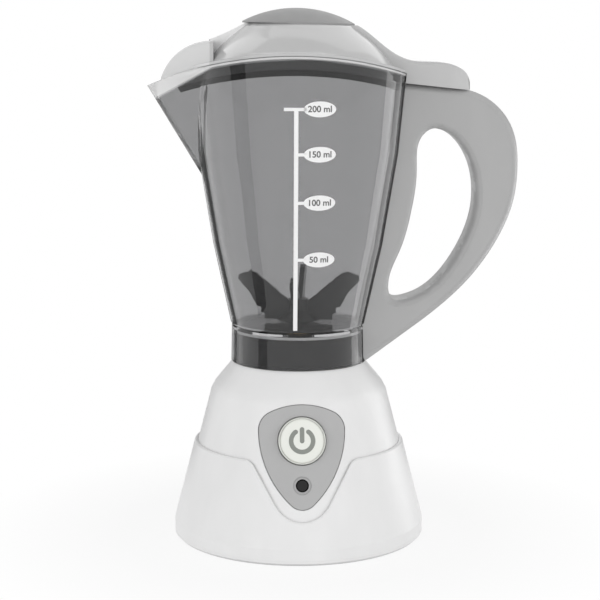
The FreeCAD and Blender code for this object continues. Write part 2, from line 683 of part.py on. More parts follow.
def power_switch():
    half = SWITCH_SIDE / 2
    case = box(-half, half, -half, half, -BOARD_DEPTH, -BOARD_DEPTH + SWITCH_H)
    legs = [box(sx * half - 0.3, sx * half + 0.3, sy * half * 0.6 - 0.4, sy * half * 0.6 + 0.4,
                -BOARD_DEPTH, -BOARD_DEPTH + SWITCH_H / 2) for sx in (-1, 1) for sy in (-1, 1)]
    bore = cylinder(PLUNGER_R + PLUNGER_GAP, -BOARD_DEPTH + PLUNGER_GAP / 2, 0)
    return on_panel(cut_all(fuse_all([case] + legs), [bore]))


def button_spring():
    """Coil of square wire between the button's flange and the board, round the switch."""
    height = BOARD_DEPTH - FLANGE_DEPTH - BUTTON_FLANGE_T - 2 * SPRING_WIRE
    steps = SPRING_TURNS * SPRING_STEPS
    route = []
    for i in range(steps + 1):
        x, y = ring_place(SPRING_R, 360 * i / SPRING_STEPS)
        route.append(Vector(x, y, height * i / steps))
    half = SPRING_WIRE / 2
    section = polygon([rz(SPRING_R + u, v) for u, v in
                       ((-half, -half), (half, -half), (half, half), (-half, half))])
    coil = Part.makePolygon(route).makePipeShell([section], True, True, 1)
    coil.translate(Vector(0, 0, -BOARD_DEPTH + SPRING_WIRE))
    return on_panel(coil)


def circuit_board():
    half = BOARD_W / 2
    back = -BOARD_DEPTH - BOARD_T
    board = box(-half, half, -BOARD_DOWN, BOARD_UP, back, -BOARD_DEPTH)
    corners = [e for e in board.Edges if e.BoundBox.ZLength > BOARD_T / 2]
    board = board.makeChamfer(BOARD_CORNER, corners)
    holes = [pin(SHANK_R * 0.8, back - 1, 0, x, y) for x, y in standoff_places()]
    parts = []
    for x, (long, wide, high) in ((PARTS_X, CHIP), (-PARTS_X, COIL)):
        parts.append(box(x - long / 2, x + long / 2, -PARTS_DROP - wide / 2, -PARTS_DROP + wide / 2,
                         back - high, back))
    return on_panel(cut_all(fuse_all([board] + parts), holes))


def indicator_led():
    """Round lamp on two leads, with a bevelled lens."""
    body = cylinder(LENS_R, -2 * LENS_R, -LENS_TOP)
    rim = [e for e in body.Edges if e.BoundBox.ZMin > -LENS_TOP - 0.01]
    body = body.makeChamfer(LENS_TOP, rim)
    leads = [box(x - LEAD / 2, x + LEAD / 2, -LEAD / 2, LEAD / 2, -BOARD_DEPTH, -2 * LENS_R)
             for x in (-LENS_R / 2, LENS_R / 2)]
    led = fuse_all([body] + leads)
    led.translate(Vector(0, -LENS_DROP, 0))
    return on_panel(led)


def board_screws():
    tip = BOARD_DEPTH * 0.55
    screws = []
    for x, y in standoff_places():
        head = BOARD_DEPTH + BOARD_T + 1.0
        screws.append(screw(x, y, -head, -tip, STANDOFF_R, 1.0, SHANK_R * 0.8))
    return on_panel(Part.makeCompound(screws))


# ---------------------------------------------------------------- drive train
def involute_gear(teeth, thickness, z0):
    """Spur gear whose flanks follow the involute in straight steps."""
    pitch_r = GEAR_MODULE * teeth / 2
    base_r = pitch_r * math.cos(math.radians(PRESSURE_ANGLE))
    tip_r = pitch_r + GEAR_MODULE * 0.95
    root_r = pitch_r - GEAR_MODULE * 1.25

    def involute(r):
        t = math.sqrt(max((r / base_r) ** 2 - 1, 0))
        return t - math.atan(t)

    def half_angle(r):
        at_pitch = math.pi / (2 * teeth) - BACKLASH / (4 * pitch_r)
        return at_pitch + involute(pitch_r) - involute(max(r, base_r))

    flank = [root_r, max(base_r, root_r), pitch_r, tip_r]
    if flank[1] - flank[0] < GEAR_MODULE / 20:
        flank = flank[1:]
    tooth = [(r, -half_angle(r)) for r in flank] + [(r, half_angle(r)) for r in reversed(flank)]
    outline = []
    for i in range(teeth):
        middle = 2 * math.pi * i / teeth
        outline += [Vector(r * math.cos(middle + a), r * math.sin(middle + a), z0) for r, a in tooth]
    return Part.Face(polygon(outline)).extrude(Vector(0, 0, thickness))


def drive_gear():
    gear = involute_gear(GEAR_TEETH, GEAR_T, GEAR_Z)
    web_r = GEAR_MODULE * (GEAR_TEETH / 2 - 3)
    hub_r = SHAFT_R + 2
    dish = tube(web_r, hub_r, GEAR_Z + GEAR_T * 0.5, GEAR_Z + GEAR_T + 1)
    hub = cylinder(hub_r, GEAR_PLATE_TOP + GEAR_GAP / 2, GEAR_Z + GEAR_T + 0.8)
    body = fuse_all([cut_all(gear, [dish]), hub])
    return cut_all(body, [cylinder(SHAFT_R, PLATE_Z, DECK_Z)])


def motor_pinion():
    """Pinion turned by half a tooth so that it meshes with the drive gear at rest."""
    gear = involute_gear(PINION_TEETH, GEAR_T + 2 * PINION_EXTRA, GEAR_Z - PINION_EXTRA)
    gear.rotate(Vector(), Vector(0, 0, 1), mesh_angle())
    gear.translate(Vector(0, GEAR_CENTRES, 0))
    return gear.cut(cylinder(MOTOR_SHAFT_R, PLATE_Z, DECK_Z, 0, GEAR_CENTRES))


def mesh_angle():
    """Turn of the pinion that sets a gap of it against the gear's tooth on +Y."""
    gear_step = 360.0 / GEAR_TEETH
    pinion_step = 360.0 / PINION_TEETH
    tooth_off = (90.0 / gear_step) % 1.0 * gear_step
    return 270.0 + pinion_step / 2 + tooth_off * GEAR_TEETH / PINION_TEETH


def motor():
    """Small can motor with two flats, a boss at each end and two solder tags."""
    mid = GEAR_CENTRES
    foot = PLATE_Z - MOTOR_L
    can = cylinder(MOTOR_R, foot, PLATE_Z, 0, mid)
    flats = box(-MOTOR_R, MOTOR_R, mid - MOTOR_FLAT / 2, mid + MOTOR_FLAT / 2, foot, PLATE_Z)
    boss = cylinder(MOTOR_BOSS_R, PLATE_Z, GEAR_PLATE_TOP, 0, mid)
    tail = cylinder(MOTOR_BOSS_R, foot - MOTOR_TAIL, foot, 0, mid)
    thick, wide, long = MOTOR_TAG
    tags = [box(x - thick / 2, x + thick / 2, mid - wide / 2, mid + wide / 2, foot - long, foot)
            for x in (-MOTOR_TAG_X, MOTOR_TAG_X)]
    body = fuse_all([can.common(flats), boss, tail] + tags)
    bores = [cylinder(MOTOR_SHAFT_R + RUN_FIT, PLATE_Z - MOTOR_L / 2, GEAR_Z, 0, mid)]
    bores += [pin(SHANK_R * 0.7, PLATE_Z - MOTOR_SCREW_L, PLATE_Z + 1, x, mid)
              for x in motor_screw_xs()]
    return cut_all(body, bores)


def motor_screw_xs():
    return (MOTOR_SCREW_IN - MOTOR_R, MOTOR_R - MOTOR_SCREW_IN)


def motor_screws():
    screws = []
    head_h = HEAD_H * 2 / 3
    for x in motor_screw_xs():
        down = screw(x, GEAR_CENTRES, 0, head_h + GEAR_PLATE_T + MOTOR_SCREW_L, MOTOR_SCREW_R,
                     head_h, SHANK_R * 0.7)
        down.rotate(Vector(x, GEAR_CENTRES, 0), Vector(0, 1, 0), 180)
        down.translate(Vector(0, 0, GEAR_PLATE_TOP + head_h))
        screws.append(down)
    return Part.makeCompound(screws)


def motor_shaft():
    return cylinder(MOTOR_SHAFT_R, PLATE_Z - MOTOR_L / 2 + 1, GEAR_Z + GEAR_T + PINION_EXTRA + 0.6,
                    0, GEAR_CENTRES)


def gear_plate():
    front = box(-GEAR_PLATE_R, GEAR_PLATE_R, -2 * GEAR_PLATE_R, -GEAR_PLATE_FRONT, 0, DECK_Z)
    plate = cylinder(GEAR_PLATE_R, PLATE_Z, GEAR_PLATE_TOP)
    boss = cylinder(SHAFT_R + 2 * GEAR_PLATE_BOSS, PLATE_Z - GEAR_PLATE_BOSS, PLATE_Z)
    rib = tube(GEAR_PLATE_R, GEAR_PLATE_R - GEAR_PLATE_RIB, PLATE_Z - GEAR_PLATE_T, PLATE_Z)
    cuts = [front, cylinder(SHAFT_R + RUN_FIT, 0, DECK_Z),
            cylinder(MOTOR_BOSS_R, 0, DECK_Z, 0, GEAR_CENTRES)]
    cuts += [pin(SHANK_R * 0.7, 0, DECK_Z, x, GEAR_CENTRES) for x in motor_screw_xs()]
    cuts += [pin(SHANK_R, 0, DECK_Z, x, y) for x, y in GEAR_POSTS]
    return cut_all(fuse_all([plate, boss, rib]), cuts)


def gear_plate_screws():
    return Part.makeCompound([screw(x, y, PLATE_Z - HEAD_H, GEAR_PLATE_TOP + SCREW_L / 2 - 0.5)
                              for x, y in GEAR_POSTS])


def base_screws():
    return Part.makeCompound([screw(x, y, HEAD_SINK, HEAD_SINK + SCREW_L) for x, y in POST_PLACES])


def door_screw():
    return screw(DOOR_SCREW_X, DOOR_MID_Y, DOOR_SCREW_SINK, CELL_Z + CELL_R - 2, HEAD_R,
                 DOOR_HEAD_H)


def drive_shaft():
    return cylinder(SHAFT_R, PLATE_Z - 1.2 - 0.3 - CLIP_T - 0.8, DRIVE_DOG_Z + DOG_T + 1.2)


def shaft_clip():
    top = PLATE_Z - 1.2 - 0.3
    ring = tube(CLIP_R, SHAFT_R, top - CLIP_T, top)
    gap = box(0, CLIP_R + 1, -SHAFT_R * 0.6, SHAFT_R * 0.6, top - 2, top + 1)
    return ring.cut(gap)


def drive_bushing():
    return tube(BUSH_R, SHAFT_R + RUN_FIT, SPIGOT_Z - BUSH_L, SPIGOT_Z)


def drive_coupler():
    """Coupling dogs that stand up between those of the blade's coupling."""
    top = DRIVE_DOG_Z + DOG_T
    parts = [cylinder(DOG_R, DRIVE_DOG_Z, top), cylinder(DOG_CORE_R, top, top + 1.2)]
    parts += [sector(DOG_R, DOG_CORE_R + 0.5, 120 * i - DOG_ANGLE / 2, DOG_ANGLE, top, top + DOG_REACH)
              for i in range(3)]
    return fuse_all(parts).cut(cylinder(SHAFT_R, 0, FLOOR_Z))


def blade_coupler():
    bottom = BLADE_DOG_TOP - DOG_T
    reach = bottom - DRIVE_DOG_Z - DOG_T - DOG_GAP
    parts = [cylinder(DOG_R, bottom, BLADE_DOG_TOP), cylinder(DOG_CORE_R, bottom - 0.8, bottom)]
    parts += [sector(DOG_R, DOG_CORE_R + 0.5, 60 + 120 * i - DOG_ANGLE / 2, DOG_ANGLE,
                     bottom - reach, bottom) for i in range(3)]
    return fuse_all(parts).cut(cylinder(BLADE_SHAFT_R, 0, FLOOR_Z))


# ---------------------------------------------------------------- jug
def arch(offset):
    """Everything under the arched rim's surface moved up by the offset."""
    reach = 2 * COLLAR_R + WALL_RIM[0]
    return Part.makeCylinder(ARCH_R + offset, 2 * reach, Vector(ARCH_X, -reach, ARCH_Z),
                             Vector(0, 1, 0))


def jug_wall_solid(inset):
    """Solid inside the jug's tapered wall, moved inwards by the inset."""
    top = ARCH_TOP_Z + 4
    wall = [(r - inset, z) for r, z in (WALL_FOOT, WALL_LOW_BEND, WALL_HIGH_BEND, WALL_RIM)]
    return revolved([(0, WALL_FOOT[1])] + wall + [(WALL_RIM[0] - inset, top), (0, top)])


def vee_prism(tip_x, tip_r, back_x, low, high, lean=0.0):
    """Prism over a V in plan that points to -X with a rounded tip; it may lean outwards."""
    angle = math.radians(SPOUT_ANGLE)
    centre = Vector(tip_x + tip_r, 0, low)
    near = centre + Vector(-math.sin(angle), math.cos(angle), 0) * tip_r
    far = near + Vector(1, math.tan(angle), 0) * (back_x - near.x)

    def mirror(p):
        return Vector(p.x, -p.y, p.z)

    edges = [line(far, near), arc(near, centre - Vector(tip_r, 0, 0), mirror(near)),
             line(mirror(near), mirror(far)), line(mirror(far), far)]
    return Part.Face(Part.Wire(edges)).extrude(Vector(-lean, 0, 1) * (high - low))


def leaning_vee(inset, tip_r):
    """Leaning V-shaped prism of the spout, its walls moved inwards by the inset."""
    low = KEEL_Z - 8
    outer_tip = KEEL_X + KEEL_LEAN * (KEEL_Z - low)
    spread = 1 / math.sin(math.radians(SPOUT_ANGLE))
    corner = outer_tip - SPOUT_TIP_R * (spread - 1) + inset * spread
    return vee_prism(corner + tip_r * (spread - 1), tip_r, outer_tip + SPOUT_RUN, low,
                     ARCH_TOP_Z + 4, KEEL_LEAN)


def spout_solid(inset):
    return leaning_vee(inset, SPOUT_TIP_R - inset)


def mouth_solid(gap):
    """Solid that fills the jug's mouth at a gap from its wall, with a blunt lobe in the spout."""
    return jug_wall_solid(WALL + gap).fuse(leaning_vee(SPOUT_WALL + gap, LOBE_R - gap))


def collar_solid():
    groove = COLLAR_GROOVE
    return revolved([(0, DECK_Z), (COLLAR_R, DECK_Z), (COLLAR_R - groove / 2, COLLAR_TOP_Z),
                     (WALL_FOOT[0] - groove, COLLAR_TOP_Z + groove), WALL_FOOT, (0, WALL_FOOT[1])])


def jug_outside():
    return collar_solid().fuse([jug_wall_solid(0), spout_solid(0)])


def jug_shell():
    outer = jug_outside().common(arch(0))
    cavity = jug_wall_solid(WALL).fuse(spout_solid(SPOUT_WALL))
    foot = cylinder(WALL_FOOT[0] - WALL - 0.4, FLOOR_Z, FLOOR_Z + 3)
    socket = cylinder(COLLAR_R - WALL, DECK_Z - 1, FLOOR_UNDER)
    keep = cylinder(2 * COLLAR_R, FLOOR_Z, 2 * ARCH_TOP_Z)
    hole = cylinder(JUG_BUSH_R, FLOOR_UNDER - 1, FLOOR_Z + 1)
    pocket = cylinder(SEAL_R, FLOOR_Z - SEAL_SINK, FLOOR_Z + 1)
    return cut_all(outer, [cavity.common(keep), foot, socket, hole, pocket])


def jug_base_insert():
    """Dark cup inside the collar: it slides over the spigot and carries the bush."""
    outer_r = COLLAR_R - WALL - INSERT_FIT
    inner_r = SPIGOT_R + INSERT_SKIRT_GAP
    foot = DECK_Z + INSERT_LIFT
    body = fuse_all([tube(outer_r, inner_r, foot, INSERT_TOP),
                     cylinder(outer_r, INSERT_UNDER, INSERT_TOP),
                     cylinder(INSERT_BOSS_R, INSERT_UNDER, FLOOR_UNDER)])
    slots = []
    half = KEY_W / 2 + INSERT_SKIRT_GAP
    for i in range(3):
        slot = box(SPIGOT_R - 1, SPIGOT_R + KEY_OUT + INSERT_SKIRT_GAP, -half, half,
                   DECK_Z, SPIGOT_Z + INSERT_SKIRT_GAP)
        slot.rotate(Vector(), Vector(0, 0, 1), 90 + 120 * i)
        slots.append(slot)
    return cut_all(body, slots + [cylinder(JUG_BUSH_R, DECK_Z, FLOOR_Z)])


def blade_bush():
    return tube(JUG_BUSH_R, BLADE_SHAFT_R + RUN_FIT, INSERT_UNDER, FLOOR_Z - SEAL_SINK)


def shaft_seal():
    foot = FLOOR_Z - SEAL_SINK
    return tube(SEAL_R, BLADE_SHAFT_R + RUN_FIT, foot, foot + SEAL_T)


def handle_edges():
    """Outer outline of the loop handle in the XZ plane, closed inside the jug."""
    inner = Vector(COLLAR_R / 2, 0, HANDLE_TOE[1])
    start, knee = [Vector(x, 0, z) for x, z in HANDLE_TOP]
    top = Vector(inner.x, 0, start.z)
    back = [knee] + [Vector(x, 0, z) for x, z in HANDLE_BACK] + [Vector(HANDLE_TOE[0], 0, HANDLE_TOE[1])]
    return [line(top, start), line(start, knee), curve(back), line(back[-1], inner), line(inner, top)]


def handle_hole():
    points = [Vector(x, 0, z) for x, z in HANDLE_HOLE]
    ring = Part.BSplineCurve()
    ring.interpolate(Points=points, PeriodicFlag=True)
    return prism_y([ring.toShape()], -2 * HANDLE_HALF, 2 * HANDLE_HALF)


def handle_half(side):
    """One moulded half of the handle; side is -1 for the front, 1 for the back."""
    block = prism_y(handle_edges(), 0, side * HANDLE_HALF).cut(handle_hole())
    face_y = side * HANDLE_HALF
    rims = [e for e in block.Edges
            if abs(e.BoundBox.YMin - face_y) < 0.01 and abs(e.BoundBox.YMax - face_y) < 0.01
            and e.BoundBox.XMax > 1.5 * COLLAR_R]
    rounded = block.makeChamfer(HANDLE_EDGE, rims)
    half = rounded.cut(jug_outside())
    pilot = pin(SHANK_R, -HANDLE_HALF, HANDLE_SCREW_TIP + HEAD_GAP)
    screws = [handle_axis(pilot.copy(), x, z) for x, z in HANDLE_SCREWS]
    if side > 0:
        well = cylinder(HEAD_R + HEAD_GAP, -2 * HANDLE_HALF, HANDLE_SCREW_SEAT - HANDLE_HALF)
        screws += [handle_axis(well.copy(), x, z) for x, z in HANDLE_SCREWS]
    return cut_all(half, screws)


def handle_axis(shape, x, z):
    """Lays a shape drawn along Z on a screw's axis, its +Z towards the front."""
    shape.rotate(Vector(), Vector(1, 0, 0), 90)
    shape.translate(Vector(x, 0, z))
    return shape


def handle_screws():
    head = HANDLE_SCREW_SEAT - HANDLE_HALF - HEAD_H
    return Part.makeCompound([handle_axis(screw(0, 0, head, HANDLE_SCREW_TIP), x, z)
                              for x, z in HANDLE_SCREWS])


# ---------------------------------------------------------------- blades
def blade_rotor():
    """Hub with a skirt and a ring of upright fins."""
    outline = ((0, 0),) + FIN_FOOT + FIN_TIP + FIN_NECK + ((HUB_R, HUB_H), (0, HUB_H))
    fins = []
    for i in range(BLADE_COUNT):
        points = [Vector(r, -BLADE_T / 2, z) for r, z in outline]
        fin = Part.Face(polygon(points)).extrude(Vector(0, BLADE_T, 0))
        fin.rotate(Vector(), Vector(0, 0, 1), 360.0 / BLADE_COUNT * i)
        fins.append(fin)
    hub = cylinder(HUB_R, 0, HUB_H + BLADE_T / 3)
    skirt = Part.makeCone(HUB_CONE[0], HUB_R, HUB_CONE[1])
    rotor = fuse_all([hub, skirt] + fins)
    rotor.rotate(Vector(), Vector(0, 0, 1), BLADE_TURN)
    rotor.translate(Vector(0, 0, BLADE_Z))
    return rotor.cut(cylinder(BLADE_SHAFT_R, DECK_Z, BLADE_Z + HUB_H - 1))


def blade_shaft():
    return cylinder(BLADE_SHAFT_R, BLADE_DOG_TOP - DOG_T - 0.8, BLADE_Z + HUB_H - 1)


# ---------------------------------------------------------------- lid
def ellipse_wire(z, half_x, half_y):
    ellipse = Part.Ellipse(Vector(0, 0, z), max(half_x, half_y), min(half_x, half_y))
    wire = Part.Wire(ellipse.toShape())
    if half_y > half_x:
        wire.rotate(Vector(0, 0, z), Vector(0, 0, 1), 90)
    return wire


def dome_solid(inset):
    """Loft through the dome's oval sections, shrunk on all sides by the inset."""
    sections = [ellipse_wire(z - inset, a - inset, b - inset) for z, a, b in DOME]
    return Part.makeLoft(sections, True, False)


def cap_frame(shape):
    placed = shape.copy()
    seat = Placement(Vector(0, 0, CAP_EDGE_Z), Rotation(Vector(0, 1, 0), CAP_TILT))
    placed.Placement = seat.multiply(placed.Placement)
    return placed


def hood_block(inset):
    """Beak over the spout: a V in plan between a sloping foot and a curved top."""
    back_x = HOOD_BACK_X - inset
    wedge = vee_prism(HOOD_TIP_X + inset, HOOD_TIP_R - inset, back_x,
                      HOOD_FOOT[0][1] - 10, DOME[0][0])
    crown = [Vector(x, 0, z - inset) for x, z in HOOD_TOP]
    first, last = crown[0], crown[-1]
    foot_a, foot_b = [Vector(x, 0, z - inset) for x, z in HOOD_FOOT]
    start = Vector(foot_a.x, 0, first.z)
    end = Vector(foot_b.x, 0, last.z)
    roof = prism_y([arc(*crown), line(last, end), line(end, foot_b), line(foot_b, foot_a),
                    line(foot_a, start), line(start, first)], -2 * LOBE_R, 2 * LOBE_R)
    return wedge.common(roof)


def rounded_hood():
    """The hood with its two crown edges rounded."""
    hood = hood_block(0)
    top = HOOD_TOP[0][1]
    crown = [e for e in hood.Edges if e.BoundBox.ZMax > top + 1 and not lies_below(e, HOOD_FOOT)
             and e.BoundBox.XLength > HOOD_TIP_R / 10 and e.BoundBox.YLength > HOOD_TIP_R / 10]
    return hood.makeFillet(HOOD_ROUND, crown)


def lies_below(edge, slope):
    """True for an edge that runs along the sloping plane through two XZ points."""
    (x0, z0), (x1, z1) = slope
    ends = [v.Point for v in edge.Vertexes]
    return all(abs(p.z - z0 - (z1 - z0) * (p.x - x0) / (x1 - x0)) < 0.05 for p in ends)


def spine():
    top = [Vector(x, 0, z) for x, z in SPINE_TOP]
    low = DOME[3][0]
    edges = [curve(top), line(top[-1], Vector(top[-1].x, 0, low)),
             line(Vector(top[-1].x, 0, low), Vector(top[0].x, 0, low)),
             line(Vector(top[0].x, 0, low), top[0])]
    return prism_y(edges, -SPINE_W, SPINE_W)


def handle_top_z(x):
    """Height of the handle's sloping top at a distance along X."""
    (x0, z0), (x1, z1) = HANDLE_TOP
    return z0 + (z1 - z0) * (x - x0) / (x1 - x0)


def thumb_tab():
    crown = [Vector(x, 0, z) for x, z in TAB_TOP + TAB_NOSE]
    end = TAB_NOSE[-1][0]
    root_x = TAB_TOP[0][0]
    foot = Vector(end, 0, handle_top_z(end))
    root = Vector(root_x, 0, handle_top_z(root_x))
    edges = [curve(crown), line(crown[-1], foot), line(foot, root), line(root, crown[0])]
    bar = prism_y(edges, -TAB_W, TAB_W)
    rims = [e for e in bar.Edges if e.BoundBox.YLength < 0.01 and e.BoundBox.XLength > TAB_W
            and e.Length > end - root_x + 1]
    bar = bar.makeFillet(TAB_ROUND, rims)
    plan = box(root_x - 1, end - TAB_END_R, -TAB_W, TAB_W, 0, 2 * ARCH_R)
    nose = box(end - TAB_END_R - 1, end, -TAB_W, TAB_W, 0, 2 * ARCH_R)
    upright = [e for e in nose.Edges if e.BoundBox.ZLength > 10 and e.BoundBox.XMin > end - 1]
    plan = plan.fuse(nose.makeFillet(TAB_END_R, upright)).removeSplitter()
    return bar.common(plan)


def mouth_ring(gap, wall, low, high):
    """Upright ring inside the jug's mouth between two heights below its rim."""
    ring = mouth_solid(gap).cut(mouth_solid(gap + wall))
    return ring.common(arch(-high)).cut(arch(-low))


def lid_cover():
    dome = dome_solid(0).cut(arch(LID_GAP))
    flange = arch(LID_GAP + FLANGE_T).cut(arch(LID_GAP)).common(jug_wall_solid(0))
    skirt = mouth_ring(PLUG_FIT, PLUG_WALL, SKIRT_H, -LID_GAP)
    tab = thumb_tab().cut(arch(LID_GAP).common(jug_wall_solid(-LID_GAP)))
    body = fuse_all([dome, flange, skirt, rounded_hood(), spine().cut(arch(LID_GAP)), tab])
    hollow = dome_solid(LID_WALL).common(cylinder(2 * COLLAR_R, 0, CAP_EDGE_Z - LID_WALL))
    reach = 2 * CAP_R
    top_cut = cap_frame(box(-reach, reach, -reach, reach, 0, reach))
    peg = cap_frame(cylinder(CAP_PEG_R, -CAP_PEG_L - 3, 1))
    return cut_all(body, [hollow, hood_block(LID_WALL), top_cut, peg])


def lid_plug():
    """Dark ring under the lid that drops inside the jug's rim, with a groove for the seal."""
    ring = mouth_ring(PLUG_FIT, PLUG_WALL, PLUG_H, SKIRT_H).cut(hood_block(0))
    return ring.cut(mouth_ring(0, PLUG_FIT + PLUG_WALL / 2, PLUG_H, PLUG_H - SEAL_BAND_H))


def lid_seal():
    wall = PLUG_FIT + PLUG_WALL / 2 - SEAL_BAND_FIT
    return mouth_ring(SEAL_BAND_FIT, wall, PLUG_H, PLUG_H - SEAL_BAND_H)


def lid_cap():
    ball_r = (CAP_R ** 2 + CAP_RISE ** 2) / (2 * CAP_RISE)
    ball = Part.makeSphere(ball_r, Vector(0, 0, CAP_RISE - ball_r + CAP_RIM))
    dome = ball.common(cylinder(CAP_R, CAP_RIM, 2 * CAP_RISE))
    rim = cylinder(CAP_R, 0, CAP_RIM)
    peg = cylinder(CAP_PEG_R, -CAP_PEG_L, 0)
    return cap_frame(fuse_all([dome, rim, peg]))


# ---------------------------------------------------------------- every node
NODES = {
    "lower_shell": lower_shell, "upper_cover": upper_cover, "base_plate": base_plate,
    "battery_door": battery_door, "door_screw": door_screw, "base_screws": base_screws,
    "battery_cells": battery_cells, "battery_contacts": battery_contacts,
    "control_panel": control_panel, "push_button": button, "switch_plunger": switch_plunger,
    "power_switch": power_switch, "button_spring": button_spring,
    "circuit_board": circuit_board, "board_screws": board_screws,
    "indicator_led": indicator_led, "motor": motor, "motor_screws": motor_screws,
    "motor_shaft": motor_shaft, "motor_pinion": motor_pinion, "gear_plate": gear_plate,
    "gear_plate_screws": gear_plate_screws, "drive_gear": drive_gear,
    "drive_shaft": drive_shaft, "shaft_clip": shaft_clip, "drive_bushing": drive_bushing,
    "drive_coupler": drive_coupler, "jug_shell": jug_shell,
    "jug_base_insert": jug_base_insert, "blade_bush": blade_bush,
    "shaft_seal": shaft_seal, "handle_front": lambda: handle_half(-1),
    "handle_back": lambda: handle_half(1), "handle_screws": handle_screws,
    "blade_rotor": blade_rotor, "blade_shaft": blade_shaft, "blade_coupler": blade_coupler,
    "lid_cover": lid_cover, "lid_plug": lid_plug, "lid_seal": lid_seal, "lid_cap": lid_cap,
}

for node, build in NODES.items():
    shape = build()
    if not shape.isValid():
        print("not valid:", node)
    shape.exportStep(f"parts/{node}.step")
    print(f"{node}: {len(shape.Solids)} solid(s), {shape.Volume:.1f} mm3, {shape.BoundBox}")
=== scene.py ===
"""Finishes, printed marks, studio and camera for the toy blender, built round its CAD frame."""

import json
import logging
import math
from collections.abc import Callable, Iterator
from contextlib import contextmanager
from dataclasses import dataclass
from enum import Enum

import bpy
from mathutils import Matrix, Vector

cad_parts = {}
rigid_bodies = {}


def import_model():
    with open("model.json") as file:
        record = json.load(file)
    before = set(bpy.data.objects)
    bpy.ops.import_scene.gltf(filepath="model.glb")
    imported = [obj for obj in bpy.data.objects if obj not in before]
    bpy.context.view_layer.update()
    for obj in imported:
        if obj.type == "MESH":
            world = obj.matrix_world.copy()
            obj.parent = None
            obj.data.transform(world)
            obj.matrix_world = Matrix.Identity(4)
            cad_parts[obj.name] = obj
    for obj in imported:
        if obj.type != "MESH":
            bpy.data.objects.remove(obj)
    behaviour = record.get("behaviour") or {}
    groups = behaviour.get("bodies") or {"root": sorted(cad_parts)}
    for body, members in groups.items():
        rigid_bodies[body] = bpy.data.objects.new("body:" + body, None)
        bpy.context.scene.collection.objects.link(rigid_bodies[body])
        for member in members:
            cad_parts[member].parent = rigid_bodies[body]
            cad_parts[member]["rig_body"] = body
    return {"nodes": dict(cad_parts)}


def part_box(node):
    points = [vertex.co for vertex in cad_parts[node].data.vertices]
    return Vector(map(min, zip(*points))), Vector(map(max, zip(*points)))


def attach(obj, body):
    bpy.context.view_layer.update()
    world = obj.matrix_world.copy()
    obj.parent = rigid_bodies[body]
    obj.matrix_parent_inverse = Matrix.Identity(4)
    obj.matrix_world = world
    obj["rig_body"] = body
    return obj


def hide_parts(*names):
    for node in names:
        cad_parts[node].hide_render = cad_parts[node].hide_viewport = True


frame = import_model()

logging.basicConfig(level=logging.INFO, format="%(name)s: %(message)s")
log = logging.getLogger("blender_toy")

MM = 0.001
WELD = 0.002 * MM  # corners closer than this become one
FACE_LEAD = 80  # how much large faces lead the weighted shading, of 100
UPRIGHT = (math.pi / 2, 0, 0)  # turns a flat piece to face the front

Colour = tuple[float, float, float]
Point = tuple[float, float, float]
Span = tuple[float, float]

BLACK: Colour = (0.0, 0.0, 0.0)
WHITE: Colour = (1.0, 1.0, 1.0)


# ---------------------------------------------------------------- finishes
class Sheen(Enum):
    """Roughness of a moulded face, from a polished tool to a textured one."""

    POLISHED = 0.10
    GLOSS = 0.20
    SATIN = 0.36
    TEXTURED = 0.50


